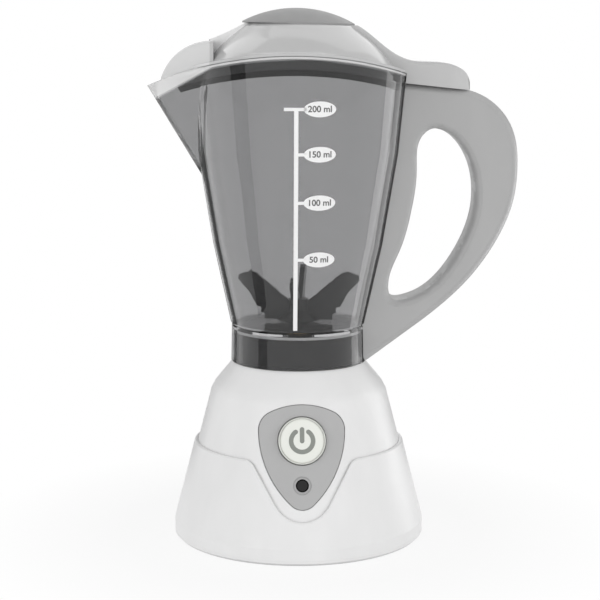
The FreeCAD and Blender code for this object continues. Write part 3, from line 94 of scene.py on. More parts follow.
class Graph:
    """Small helper that adds and links shader nodes of one material or world."""

    MIX_INPUTS = (6, 7)  # the mix node's two colour inputs
    MIX_OUTPUT = 2  # its colour output

    def __init__(self, tree: bpy.types.NodeTree) -> None:
        """Keeps the node tree that the calls add to.

        Args:
            tree: the node tree of a material or of the world.
        """
        self.tree = tree

    def add(self, kind: str, settings: dict | None = None, **inputs: object) -> bpy.types.Node:
        """Adds a node, sets its properties and sets or links its inputs.

        Args:
            kind: the node's type name.
            settings: properties of the node, by name.
            inputs: values or output sockets for its inputs, by name with _ for a space.

        Returns:
            The new node.
        """
        node = self.tree.nodes.new(kind)
        for key, value in (settings or {}).items():
            setattr(node, key, value)
        for key, value in inputs.items():
            self.join(node, key.replace("_", " "), value)
        return node

    def join(self, node: bpy.types.Node, name: str | int, value: object) -> None:
        """Sets an input to a value, or links it to an output socket.

        Args:
            node: the node that owns the input.
            name: the input's name or number.
            value: a number, a colour or an output socket.
        """
        if isinstance(value, bpy.types.NodeSocket):
            self.tree.links.new(value, node.inputs[name])
        else:
            node.inputs[name].default_value = value

    def math(self, operation: str, first: object, second: object = 0.0) -> bpy.types.NodeSocket:
        """Adds a math node.

        Args:
            operation: the operation's name.
            first: a number or a socket.
            second: a number or a socket.

        Returns:
            The result's socket.
        """
        node = self.add("ShaderNodeMath", {"operation": operation})
        self.join(node, 0, first)
        self.join(node, 1, second)
        return node.outputs[0]

    def noise(self, scale: float, detail: float = 2.0,
              stretch: Point = (1, 1, 1)) -> bpy.types.NodeSocket:
        """Adds a noise pattern on the piece's own coordinates.

        Args:
            scale: cells of the pattern in a metre.
            detail: how many finer layers are added.
            stretch: scale along X, Y and Z.

        Returns:
            The socket of the pattern's height.
        """
        place = self.add("ShaderNodeMapping", Vector=self.place(), Scale=stretch)
        node = self.add("ShaderNodeTexNoise", Vector=place.outputs[0], Scale=scale, Detail=detail)
        return node.outputs[0]

    def place(self) -> bpy.types.NodeSocket:
        """Returns the socket of the piece's own coordinates."""
        return self.add("ShaderNodeTexCoord").outputs["Object"]

    def axes(self) -> tuple[bpy.types.NodeSocket, ...]:
        """Returns the sockets of the piece's own X, Y and Z."""
        return tuple(self.add("ShaderNodeSeparateXYZ", Vector=self.place()).outputs)

    def seen(self) -> bpy.types.NodeSocket:
        """Returns a socket that is 1 for camera rays, also off gloss or through clear parts."""
        path = self.add("ShaderNodeLightPath")
        rays = self.math("MAXIMUM", path.outputs["Is Glossy Ray"],
                         path.outputs["Is Transmission Ray"])
        return self.math("MAXIMUM", path.outputs["Is Camera Ray"], rays)

    def spread(self, value: object, low: float, high: float,
               ends: Span = (0.3, 0.7)) -> bpy.types.NodeSocket:
        """Maps a pattern onto a range.

        Args:
            value: the pattern's socket.
            low: the result at the pattern's low end.
            high: the result at its high end.
            ends: the pattern's own low and high end.

        Returns:
            The mapped value's socket.
        """
        node = self.add("ShaderNodeMapRange")
        self.join(node, 0, value)
        for slot, number in enumerate((*ends, low, high), start=1):
            self.join(node, slot, number)
        return node.outputs[0]

    def blend(self, factor: object, first: object, second: object) -> bpy.types.NodeSocket:
        """Mixes two colours.

        Args:
            factor: share of the second colour, a number or a socket.
            first: the first colour, a value or a socket.
            second: the second colour, a value or a socket.

        Returns:
            The mixed colour's socket.
        """
        node = self.add("ShaderNodeMix", {"data_type": "RGBA"})
        self.join(node, 0, factor)
        for slot, colour in zip(self.MIX_INPUTS, (first, second)):
            self.join(node, slot, rgba(colour) if isinstance(colour, tuple) else colour)
        return node.outputs[self.MIX_OUTPUT]

    def mottle(self, pattern: object, colour: Colour, play: float) -> bpy.types.NodeSocket:
        """Makes a colour a little lighter and darker along a pattern.

        Args:
            pattern: the pattern's socket.
            colour: the colour's middle.
            play: share by which it goes down and up.

        Returns:
            The colour's socket.
        """
        return self.blend(self.spread(pattern, 0.0, 1.0), tinted(colour, 1 - play),
                          tinted(colour, 1 + play))

    def relief(self, shader: bpy.types.Node, strength: float, depth: float, height: object,
               **inputs: object) -> None:
        """Presses a pattern into the face.

        Args:
            shader: the material's main shader.
            strength: how strongly the pattern shows.
            depth: the pattern's depth.
            height: the pattern's socket.
            inputs: further inputs of the bump node, by name.
        """
        node = self.add("ShaderNodeBump", Strength=strength, Distance=depth, Height=height,
                        **inputs)
        self.join(shader, "Normal", node.outputs[0])


def rgba(colour: Colour) -> tuple[float, float, float, float]:
    """Returns a colour with full opacity.

    Args:
        colour: red, green and blue, linear.

    Returns:
        The four values.
    """
    return (*colour, 1.0)


def grey(tone: float) -> Colour:
    """Returns a linear colour for a display grey, by the sRGB curve.

    Args:
        tone: display value from 0 to 255.

    Returns:
        Linear red, green and blue.
    """
    share = tone / 255.0
    linear = share / 12.92 if share <= 0.04045 else ((share + 0.055) / 1.055) ** 2.4
    return (linear, linear, linear)


def tinted(colour: Colour, share: float) -> Colour:
    """Returns a colour made lighter or darker.

    Args:
        colour: linear red, green and blue.
        share: factor on each of them.

    Returns:
        The changed colour.
    """
    return tuple(min(1.0, part * share) for part in colour)


@dataclass(frozen=True)
class Plastic:
    """Opaque moulded plastic with faint flow marks, the grain of its tool and painted shade in
    its creases.
    """

    name: str
    colour: Colour
    sheen: Sheen = Sheen.SATIN
    grain: float = 0.05
    grain_size: float = 0.25 * MM
    grain_depth: float = 0.05 * MM
    flow: float = 90.0
    flow_stretch: Point = (1, 1, 0.35)
    mottle: float = 0.02
    wear: float = 260.0
    wear_play: float = 0.12
    specular: float = 0.5
    edge: float = 0.22 * MM
    # painted shade: how dark, how far reaching and how deep in tint the creases and recesses are
    # painted
    crease_shade: float = 0.35
    crease_shade_reach: float = 1.4 * MM
    crease_shade_ends: Span = (0.1, 0.9)
    crease_shade_tint: float = 0.25
    probes: int = 6

    def make(self) -> bpy.types.Material:
        """Builds the material.

        Returns:
            The finished material.
        """
        material, graph, shader = blank(self.name)
        # painted shade: ambient occlusion darkens the colour in creases, seams and recesses
        nook = graph.add("ShaderNodeAmbientOcclusion", {"samples": self.probes},
                         Distance=self.crease_shade_reach)
        dust_and_crease_shade = graph.spread(nook.outputs["AO"], self.crease_shade, 0.0, self.crease_shade_ends)
        shade = tinted(self.colour, self.crease_shade_tint)
        graph.join(shader, "Base Color", graph.blend(dust_and_crease_shade, self.tone(graph), shade))
        rough = self.sheen.value
        low, high = rough * (1 - self.wear_play), rough * (1 + self.wear_play)
        wear = graph.noise(self.wear, detail=4.0)
        graph.join(shader, "Roughness", graph.spread(wear, low, high))
        graph.join(shader, "Specular IOR Level", self.specular)
        rim = graph.add("ShaderNodeBevel", {"samples": self.probes}, Radius=self.edge)
        graph.relief(shader, self.grain, self.grain_depth, graph.noise(1 / self.grain_size),
                     Normal=rim.outputs[0])
        return material

    def tone(self, graph: Graph) -> bpy.types.NodeSocket:
        """Adds the pigment with its faint flow marks.

        Args:
            graph: the material's graph.

        Returns:
            The colour's socket.
        """
        flow = graph.noise(self.flow, detail=3.0, stretch=self.flow_stretch)
        return graph.mottle(flow, self.colour, self.mottle)


@dataclass(frozen=True)
class LidPlastic(Plastic):
    """Lid plastic with painted highlights: paler over the hood and along the spine behind it."""

    hood: Colour = (0.73, 0.73, 0.73)
    hood_to: float = -29.8 * MM
    spine: Colour = (0.97, 0.97, 0.97)
    spine_to: float = -17.0 * MM
    spine_half: float = 6.8 * MM
    hood_turn: float = 0.5 * MM
    spine_turn: float = 2.0 * MM

    def tone(self, graph: Graph) -> bpy.types.NodeSocket:
        """Adds the pigment with its painted highlights on the hood and the spine.

        Args:
            graph: the material's graph.

        Returns:
            The colour's socket.
        """
        # painted highlight: the hood, and the spine between it and the cap, turn paler
        x, y, _ = graph.axes()
        hood = graph.spread(x, 1.0, 0.0, (self.hood_to - self.hood_turn, self.hood_to))
        front = graph.spread(x, 1.0, 0.0, (self.spine_to - self.spine_turn, self.spine_to))
        middle = graph.math("LESS_THAN", graph.math("ABSOLUTE", y), self.spine_half)
        ridge = graph.math("MULTIPLY", middle, graph.math("SUBTRACT", front, hood))
        return graph.blend(ridge, graph.blend(hood, super().tone(graph), self.hood), self.spine)


@dataclass(frozen=True)
class ClearPlastic:
    """Clear plastic with a smoke tint and painted highlights along its edges, where light
    gathers.
    """

    name: str
    colour: Colour
    # the colour of the painted highlights on the spout's tip, the rim and the keel
    tip: Colour
    tip_from: float = 179.0 * MM
    tip_run: float = 1.2 * MM
    tip_lean: float = 0.55
    rim_mid: Span = (-2.5 * MM, 43.2 * MM)
    rim_r: float = 124.1 * MM
    rim_depth: float = 0.95 * MM
    edge_clear: float = 0.42
    keel_lean: float = 0.6
    keel_at: float = 42.6 * MM
    keel_wide: float = 1.6 * MM
    keel_from: float = 129.0 * MM
    keel_share: float = 0.45
    flow: float = 45.0
    flow_stretch: Point = (1, 1, 0.25)
    mottle: float = 0.015
    wear: float = 320.0
    wear_play: float = 0.5
    ior: float = 1.46
    roughness: float = 0.015

    def pale(self, graph: Graph) -> bpy.types.NodeSocket:
        """Adds the mask of the painted highlights: the spout's tip, the arched rim and the
        spout's keel.

        Args:
            graph: the material's graph.

        Returns:
            The mask's socket.
        """
        x, _, z = graph.axes()
        reach = graph.math("SUBTRACT", z, graph.math("MULTIPLY", x, self.tip_lean))
        tip = graph.spread(reach, 0.0, 1.0, (self.tip_from, self.tip_from + self.tip_run))
        out, up = (graph.math("POWER", graph.math("SUBTRACT", axis, middle), 2.0)
                   for axis, middle in zip((x, z), self.rim_mid))
        high = graph.math("SQRT", graph.math("ADD", out, up))
        rim = graph.spread(high, 0.0, 1.0,
                           (self.rim_r - self.rim_depth, self.rim_r - self.rim_depth / 2))
        along = graph.math("ADD", x, graph.math("MULTIPLY", z, self.keel_lean))
        near = graph.spread(along, 1.0, 0.0,
                            (self.keel_at + self.keel_wide / 2, self.keel_at + self.keel_wide))
        above = graph.spread(z, 0.0, 1.0, (self.keel_from, self.keel_from + self.keel_wide))
        keel = graph.math("MULTIPLY", graph.math("MULTIPLY", near, above), self.keel_share)
        return graph.math("MAXIMUM", graph.math("MAXIMUM", tip, rim), keel)

    def make(self) -> bpy.types.Material:
        """Builds the material.

        Returns:
            The finished material.
        """
        material, graph, shader = blank(self.name)
        flow = graph.noise(self.flow, stretch=self.flow_stretch)
        pale = self.pale(graph)
        tone = graph.mottle(flow, self.colour, self.mottle)
        # painted highlight: the masked edges turn pale and less clear
        graph.join(shader, "Base Color", graph.blend(pale, tone, self.tip))
        graph.join(shader, "Transmission Weight",
                   graph.spread(pale, 1.0, self.edge_clear, (0.0, 1.0)))
        low, high = self.roughness * (1 - self.wear_play), self.roughness * (1 + self.wear_play)
        wear = graph.noise(self.wear, detail=3.0)
        graph.join(shader, "Roughness", graph.spread(wear, low, high))
        graph.join(shader, "IOR", self.ior)
        return material


@dataclass(frozen=True)
class Metal:
    """Bare or plated metal with fine tool lines."""

    name: str
    colour: Colour
    roughness: float = 0.28
    lines: Point = (1, 1, 14)
    fineness: float = 900.0
    shade: float = 0.9
    rough_play: Span = (0.8, 1.25)
    relief: float = 0.12
    relief_depth: float = 0.02 * MM

    def make(self) -> bpy.types.Material:
        """Builds the material.

        Returns:
            The finished material.
        """
        material, graph, shader = blank(self.name)
        marks = graph.noise(self.fineness, stretch=self.lines)
        dull = tinted(self.colour, self.shade)
        graph.join(shader, "Base Color",
                   graph.blend(graph.spread(marks, 0.0, 1.0), dull, self.colour))
        low, high = (self.roughness * share for share in self.rough_play)
        graph.join(shader, "Roughness", graph.spread(marks, low, high))
        graph.join(shader, "Metallic", 1.0)
        graph.relief(shader, self.relief, self.relief_depth, marks)
        return material


@dataclass(frozen=True)
class SealRubber:
    """Soft black rubber with a dusty bloom."""

    name: str
    colour: Colour
    bloom: Colour
    bloom_share: float = 0.5
    fineness: float = 700.0
    rough: Span = (0.55, 0.75)
    specular: float = 0.2
    relief: float = 0.15
    relief_depth: float = 0.05 * MM

    def make(self) -> bpy.types.Material:
        """Builds the material.

        Returns:
            The finished material.
        """
        material, graph, shader = blank(self.name)
        dust_and_crease_shade = graph.noise(self.fineness, detail=5.0)
        tone = graph.blend(graph.spread(dust_and_crease_shade, 0.0, self.bloom_share), self.colour, self.bloom)
        graph.join(shader, "Base Color", tone)
        graph.join(shader, "Roughness", graph.spread(dust_and_crease_shade, *self.rough))
        graph.join(shader, "Specular IOR Level", self.specular)
        graph.relief(shader, self.relief, self.relief_depth, dust_and_crease_shade)
        return material


@dataclass(frozen=True)
class BoardLacquer:
    """Green board lacquer over a raster of copper tracks."""

    name: str
    lacquer: Colour = (0.02, 0.16, 0.06)
    track: Colour = (0.05, 0.28, 0.10)
    raster: float = 420.0
    stray: float = 0.35
    lane: Span = (0.42, 0.46)
    wear: float = 500.0
    rough: Span = (0.22, 0.32)
    relief: float = 0.3
    relief_depth: float = 0.03 * MM

    def make(self) -> bpy.types.Material:
        """Builds the material.

        Returns:
            The finished material.
        """
        material, graph, shader = blank(self.name)
        place = graph.add("ShaderNodeMapping", Vector=graph.place(), Scale=(self.raster,) * 3)
        cells = graph.add("ShaderNodeTexVoronoi", {"distance": "MANHATTAN", "feature": "F1"},
                          Vector=place.outputs[0], Scale=1.0, Randomness=self.stray)
        lanes = graph.spread(cells.outputs["Distance"], 0.0, 1.0, self.lane)
        graph.join(shader, "Base Color", graph.blend(lanes, self.lacquer, self.track))
        graph.join(shader, "Roughness", graph.spread(graph.noise(self.wear), *self.rough))
        graph.relief(shader, self.relief, self.relief_depth, lanes)
        return material


@dataclass(frozen=True)
class CellJacket:
    """Plain printed sleeve of the two cells, with bare metal at both ends."""

    name: str
    sleeve: Colour
    band: Colour
    metal: Colour
    middle_y: float
    half_length: float
    band_from: float = 0.42
    bare_end: float = 1.9 * MM
    wear: float = 400.0
    rough: Span = (0.22, 0.34)

    def make(self) -> bpy.types.Material:
        """Builds the material.

        Returns:
            The finished material.
        """
        material, graph, shader = blank(self.name)
        x, y, _ = graph.axes()
        side = graph.math("SIGN", graph.math("SUBTRACT", self.middle_y, y))
        along = graph.math("MULTIPLY", x, side)
        banded = graph.math("GREATER_THAN", along, self.half_length * self.band_from)
        ends = graph.math("GREATER_THAN", graph.math("ABSOLUTE", along),
                          self.half_length - self.bare_end)
        tone = graph.blend(ends, graph.blend(banded, self.sleeve, self.band), self.metal)
        graph.join(shader, "Base Color", tone)
        graph.join(shader, "Metallic", ends)
        graph.join(shader, "Roughness", graph.spread(graph.noise(self.wear), *self.rough))
        return material


@dataclass(frozen=True)
class Ink:
    """Pad-printed ink, matt and slightly uneven in its cover."""

    name: str
    colour: Colour
    fineness: float = 1800.0
    thin: float = 0.96
    rough: Span = (0.42, 0.55)

    def make(self) -> bpy.types.Material:
        """Builds the material.

        Returns:
            The finished material.
        """
        material, graph, shader = blank(self.name)
        cover = graph.noise(self.fineness, detail=3.0)
        thin = tinted(self.colour, self.thin)
        graph.join(shader, "Base Color",
                   graph.blend(graph.spread(cover, 0.0, 1.0), thin, self.colour))
        graph.join(shader, "Roughness", graph.spread(cover, *self.rough))
        return material


def blank(name: str) -> tuple[bpy.types.Material, Graph, bpy.types.Node]:
    """Makes a material that holds only its main shader.

    Args:
        name: the material's name.

    Returns:
        The material, its graph and the shader node.
    """
    material = bpy.data.materials.new(name)
    material.use_nodes = True
    graph = Graph(material.node_tree)
    return material, graph, material.node_tree.nodes["Principled BSDF"]


# ---------------------------------------------------------------- shared work
def dress(material: bpy.types.Material, *nodes: str) -> None:
    """Gives CAD nodes their finish.

    Args:
        material: the finish.
        nodes: names of the nodes.
    """
    for node in nodes:
        slots = frame["nodes"][node].data.materials
        slots.clear()
        slots.append(material)
        log.info("%s wears %s", node, material.name)


def settle(piece: bpy.types.Object, body: str,
           material: bpy.types.Material) -> bpy.types.Object:
    """Finishes a new piece: its place goes into its mesh, and it gets its body and its finish.

    Args:
        piece: the new object.
        body: the CAD body that it moves with.
        material: the finish.

    Returns:
        The same object.
    """
    rooted(piece)
    piece.data.materials.clear()
    piece.data.materials.append(material)
    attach(piece, body)
    log.info("%s rides on %s with %d faces", piece.name, body, len(piece.data.polygons))
    return piece


def only(piece: bpy.types.Object) -> None:
    """Selects one object and makes it active.

    Args:
        piece: the object.
    """
    bpy.ops.object.select_all(action="DESELECT")
    piece.select_set(True)
    bpy.context.view_layer.objects.active = piece


def rooted(piece: bpy.types.Object) -> None:
    """Moves a piece's place, turn and scale into its mesh.

    Args:
        piece: the object.
    """
    only(piece)
    bpy.ops.object.transform_apply(location=True, rotation=True, scale=True)


@contextmanager
def editing(piece: bpy.types.Object) -> Iterator[None]:
    """Opens the whole of a piece's mesh for editing, and closes it afterwards.

    Args:
        piece: the object.

    Yields:
        Nothing.
    """
    only(piece)
    bpy.ops.object.mode_set(mode="EDIT")
    bpy.ops.mesh.select_all(action="SELECT")
    yield
    bpy.ops.object.mode_set(mode="OBJECT")


def latest(name: str) -> bpy.types.Object:
    """Names the object that an add operator has just made.

    Args:
        name: the piece's name.

    Returns:
        The object.
    """
    piece = bpy.context.view_layer.objects.active
    piece.name = name
    piece.data.name = name
    return piece


def shaped(piece: bpy.types.Object, kind: str, **settings: object) -> None:
    """Adds a modifier to a piece and applies it.

    Args:
        piece: the object.
        kind: the modifier's type.
        settings: its properties, by name.
    """
    modifier = piece.modifiers.new(kind.title(), kind)
    for key, value in settings.items():
        setattr(modifier, key, value)
    only(piece)
    bpy.ops.object.modifier_apply(modifier=modifier.name)


def divided(piece: bpy.types.Object, cuts: int) -> bpy.types.Object:
    """Divides a flat piece, so that it can follow a curved wall.

    Args:
        piece: the flat piece.
        cuts: new corners on each of its edges.

    Returns:
        The same piece.
    """
    with editing(piece):
        bpy.ops.mesh.subdivide(number_cuts=cuts)
    return piece


def merged(pieces: list[bpy.types.Object], name: str) -> bpy.types.Object:
    """Joins several meshes into one piece.

    Args:
        pieces: the meshes.
        name: the piece's name.

    Returns:
        The joined object.
    """
    only(pieces[0])
    for piece in pieces[1:]:
        piece.select_set(True)
    bpy.ops.object.join()
    return latest(name)


def welded(node: str, name: str, flat: float = 0.3) -> bpy.types.Object:
    """Copies a CAD node as one welded mesh, for a piece that stands for it.

    Args:
        node: the node's name.
        name: the piece's name.
        flat: faces that turn by less than this many degrees become one.

    Returns:
        The copy.
    """
    piece = bpy.data.objects.new(name, frame["nodes"][node].data.copy())
    piece.data.name = name
    bpy.context.scene.collection.objects.link(piece)
    only(piece)
    bpy.ops.mesh.customdata_custom_splitnormals_clear()
    with editing(piece):
        bpy.ops.mesh.remove_doubles(threshold=WELD)
        bpy.ops.mesh.mark_sharp(clear=True)
        bpy.ops.mesh.dissolve_limited(angle_limit=math.radians(flat))
    return piece


def eased(piece: bpy.types.Object, width: float, steps: int, near: Callable[[Vector], bool],
          sharp: float = 25.0) -> None:
    """Rounds the sharp edges of a piece that lie where a test allows.

    Args:
        piece: the welded mesh.
        width: reach of the rounding on each side.
        steps: its segments.
        near: the test on an edge's middle.
        sharp: least angle in degrees between an edge's two faces.
    """
    only(piece)
    bpy.ops.object.mode_set(mode="EDIT")
    bpy.ops.mesh.select_mode(type="EDGE")
    bpy.ops.mesh.select_all(action="DESELECT")
    bpy.ops.mesh.edges_select_sharp(sharpness=math.radians(sharp))
    bpy.ops.object.mode_set(mode="OBJECT")
    places = piece.data.vertices
    for edge in piece.data.edges:
        if edge.select:
            edge.select = near((places[edge.vertices[0]].co + places[edge.vertices[1]].co) / 2)
    bpy.ops.object.mode_set(mode="EDIT")
    bpy.ops.mesh.bevel(offset=width, segments=steps, affect="EDGES", clamp_overlap=False)
    bpy.ops.object.mode_set(mode="OBJECT")


def stand_for(piece: bpy.types.Object, node: str, material: bpy.types.Material,
              angle: float, weighted: bool = False) -> bpy.types.Object:
    """Shades a piece smooth and puts it in the place of its CAD node.

    Args:
        piece: the welded copy.
        node: the node that it stands for.
        material: the finish.
        angle: edges stay sharp past this many degrees.
        weighted: lets the large flat faces lead the shading of the rounded edges.

    Returns:
        The same piece.
    """
    only(piece)
    bpy.ops.object.shade_smooth_by_angle(angle=math.radians(angle))
    if weighted:
        shaped(piece, "WEIGHTED_NORMAL", mode="FACE_AREA", weight=FACE_LEAD, keep_sharp=True)
    settle(piece, frame["nodes"][node]["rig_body"], material)
    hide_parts(node)
    return piece


def stand_in(node: str, name: str, material: bpy.types.Material,
             angle: float) -> bpy.types.Object:
    """Puts a smooth welded copy in the place of a CAD node.

    Args:
        node: the node's name.
        name: the piece's name.
        material: the finish.
        angle: edges stay sharp past this many degrees.

    Returns:
        The copy.
    """
    return stand_for(welded(node, name), node, material, angle)


# ---------------------------------------------------------------- jug
@dataclass
class MeasureScale:
    """White scale printed on the front of the jug's wall."""

    line_x: float = -1.95 * MM
    line_width: float = 1.4 * MM
    line_foot_z: float = 75.9 * MM
    mark_heights: tuple[float, ...] = (150.5 * MM, 135.8 * MM, 119.8 * MM, 100.6 * MM)
    mark_names: tuple[str, ...] = ("200 ml", "150 ml", "100 ml", "50 ml")
    tick_width: float = 1.06 * MM
    tick_reach: float = 2.9 * MM
    bar_left: float = 3.3 * MM
    oval: Span = (10.5 * MM, 5.1 * MM)
    oval_x: float = 5.75 * MM
    oval_sides: int = 48
    line_cuts: int = 40
    tick_cuts: int = 6
    oval_cuts: int = 5
    letter_size: float = 2.85 * MM
    letter_weight: float = 0.06 * MM
    mark_lift: float = 0.06 * MM
    number_lift: float = 0.09 * MM
    ink_depth: float = 0.02 * MM
    plane_y: float = -60.0 * MM

    def strip(self, name: str, x0: float, x1: float, z0: float, z1: float,
              cuts: int) -> bpy.types.Object:
        """Makes one flat upright strip in front of the jug.

        Args:
            name: the strip's name.
            x0: its left edge.
            x1: its right edge.
            z0: its lower edge.
            z1: its upper edge.
            cuts: how often it is divided, so that it can follow the wall.

        Returns:
            The strip.
        """
        bpy.ops.mesh.primitive_plane_add(
            size=1.0, location=((x0 + x1) / 2, self.plane_y, (z0 + z1) / 2), rotation=UPRIGHT)
        piece = latest(name)
        piece.scale = (x1 - x0, z1 - z0, 1)
        return divided(piece, cuts)

    def badge(self, name: str, z: float) -> bpy.types.Object:
        """Makes one flat oval in front of the jug.

        Args:
            name: the oval's name.
            z: its middle's height.

        Returns:
            The oval.
        """
        bpy.ops.mesh.primitive_circle_add(
            vertices=self.oval_sides, radius=0.5, fill_type="TRIFAN",
            location=(self.oval_x, self.plane_y, z), rotation=UPRIGHT)
        piece = latest(name)
        piece.scale = (*self.oval, 1)
        return divided(piece, self.oval_cuts)

    def caption(self, words: str, z: float) -> bpy.types.Object:
        """Makes the flat number of one mark.

        Args:
            words: the number with its unit.
            z: the mark's height.

        Returns:
            The mesh of the letters.
        """
        bpy.ops.object.text_add(location=(self.oval_x, self.plane_y, z), rotation=UPRIGHT)
        piece = latest("scale_number")
        piece.data.body = words
        piece.data.size = self.letter_size
        piece.data.align_x = "CENTER"
        piece.data.align_y = "CENTER"
        piece.data.offset = self.letter_weight
        only(piece)
        bpy.ops.object.convert(target="MESH")
        return bpy.context.view_layer.objects.active

    def wrap(self, piece: bpy.types.Object, lift: float) -> None:
        """Lays a flat print on the jug's wall and gives it the ink's thickness.

        Args:
            piece: the flat print.
            lift: its distance from the wall.
        """
        rooted(piece)
        shaped(piece, "SHRINKWRAP", target=frame["nodes"]["jug_shell"], wrap_method="PROJECT",
               use_project_y=True, use_positive_direction=True, use_negative_direction=False,
               offset=lift)
        shaped(piece, "SOLIDIFY", thickness=self.ink_depth, offset=1.0)
        with editing(piece):
            bpy.ops.mesh.normals_make_consistent(inside=False)

    def build(self, white: bpy.types.Material, dark: bpy.types.Material) -> None:
        """Prints the whole scale.

        Args:
            white: ink of the line, the ticks and the ovals.
            dark: ink of the numbers.
        """
        half_line, half_tick = self.line_width / 2, self.tick_width / 2
        right = self.line_x + half_line
        top = self.mark_heights[0]
        prints = [self.strip("scale_line", self.line_x - half_line, right, self.line_foot_z,
                             top - half_tick, self.line_cuts)]
        for z in self.mark_heights:
            left = self.line_x - self.bar_left - half_line if z == top else right
            prints.append(self.strip("scale_tick", left, right + self.tick_reach,
                                     z - half_tick, z + half_tick, self.tick_cuts))
            prints.append(self.badge("scale_oval", z))
        marks = merged(prints, "jug_scale_marks")
        self.wrap(marks, self.mark_lift)
        settle(marks, "jug", white)
        captions = [self.caption(*mark) for mark in zip(self.mark_names, self.mark_heights)]
        numbers = merged(captions, "jug_scale_numbers")
        self.wrap(numbers, self.number_lift)
        settle(numbers, "jug", dark)


@dataclass
class Jug:
    """Clear jug with its dark foot, its scale and its handle."""

    wall: ClearPlastic = ClearPlastic("smoke_clear_wall", (0.50, 0.50, 0.505), (0.93, 0.93, 0.93))
    wall_angle: float = 10.0
    foot: Plastic = Plastic("dark_foot_gloss", grey(62), Sheen.GLOSS, 0.02)
    # painted highlight: a pale ring that stands for the light line at the top of the dark foot
    light_line_ring: Plastic = Plastic("light_line_painted_pale", grey(252), Sheen.TEXTURED, 0.02, crease_shade=0.0)
    light_line_sides: int = 96
    light_line_wide: float = 1.6 * MM
    light_line_deep: float = 0.96 * MM
    light_line_gap: float = 0.02 * MM
    handle: Plastic = Plastic("handle_satin_grey", grey(178), Sheen.SATIN, 0.04, crease_shade=0.1)
    handle_flat: float = 1.2
    handle_angle: float = 50.0
    white_ink: Ink = Ink("scale_white_ink", grey(252))
    number_ink: Ink = Ink("scale_number_ink", grey(110))

    def build(self) -> None:
        """Dresses the jug's nodes, prints its scale and lays a pale ring that paints the light
        line on the foot.
        """
        MeasureScale().build(self.white_ink.make(), self.number_ink.make())
        wall = stand_in("jug_shell", "jug_clear_wall", self.wall.make(),
                        self.wall_angle)
        wall.visible_shadow = False  # it would darken the rotor that stands in it
        dress(self.foot.make(), "jug_base_insert")
        self.lay_light_line_ring()
        grip = self.handle.make()
        for node in ("handle_front", "handle_back"):
            half = stand_for(welded(node, node + "_grip", self.handle_flat), node,
                             grip, self.handle_angle, True)
            half.visible_glossy = False  # it would cover the light strip on the jug's wall
        frame["nodes"]["handle_screws"].visible_glossy = False

    def lay_light_line_ring(self) -> None:
        """Lays a pale ring between the cup in the foot and the jug's floor: a painted light line
        along the top of the dark foot.
        """
        low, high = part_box("jug_base_insert")
        bpy.ops.mesh.primitive_cylinder_add(
            vertices=self.light_line_sides, radius=(high.x - low.x) / 2, depth=self.light_line_deep,
            end_fill_type="NOTHING",
            location=(0, 0, high.z - self.light_line_gap - self.light_line_deep / 2))
        ring = latest("foot_painted_light_line")
        shaped(ring, "SOLIDIFY", thickness=self.light_line_wide, offset=-1.0)
        settle(ring, "jug", self.light_line_ring.make())


@dataclass
class Rotor:
    """Finned rotor with its shaft, bush and seal."""

    fins: Plastic = Plastic("rotor_dark_gloss", grey(50), Sheen.GLOSS, 0.03)
    coupling: Plastic = Plastic("coupling_dark", grey(60), Sheen.SATIN, 0.05)
    shaft: Metal = Metal("ground_steel", (0.60, 0.60, 0.61), 0.20, (1, 1, 20))
    bush: Metal = Metal("bush_brass", (0.78, 0.57, 0.28), 0.30)
    seal: SealRubber = SealRubber("seal_black_rubber", (0.004, 0.004, 0.004),
                                  (0.010, 0.010, 0.010))

    def build(self) -> None:
        """Dresses the turning pieces, their bushes and both seals."""
        dress(self.fins.make(), "blade_rotor")
        dress(self.coupling.make(), "blade_coupler", "drive_coupler")
        dress(self.shaft.make(), "blade_shaft", "drive_shaft", "motor_shaft")
        dress(self.bush.make(), "blade_bush", "drive_bushing", "motor_pinion")
        dress(self.seal.make(), "shaft_seal", "lid_seal")


@dataclass
class Lid:
    """Lid with its hood, thumb tab and cap."""

    shell: LidPlastic = LidPlastic("lid_light_gloss", grey(199), Sheen.POLISHED, 0.01, crease_shade=0.1)
    shell_angle: float = 40.0
    cap: Plastic = Plastic("cap_mid_satin", grey(162), Sheen.TEXTURED, 0.01, specular=0.2,
                           crease_shade=0.1)
    cap_angle: float = 24.0
    ring: Plastic = Plastic("plug_dark_satin", grey(76), Sheen.SATIN, 0.02)

    def build(self) -> None:
        """Dresses the lid's nodes."""
        stand_in("lid_cover", "lid_cover_moulded", self.shell.make(),
                 self.shell_angle)
        stand_in("lid_cap", "lid_cap_moulded", self.cap.make(), self.cap_angle)
        dress(self.ring.make(), "lid_plug")


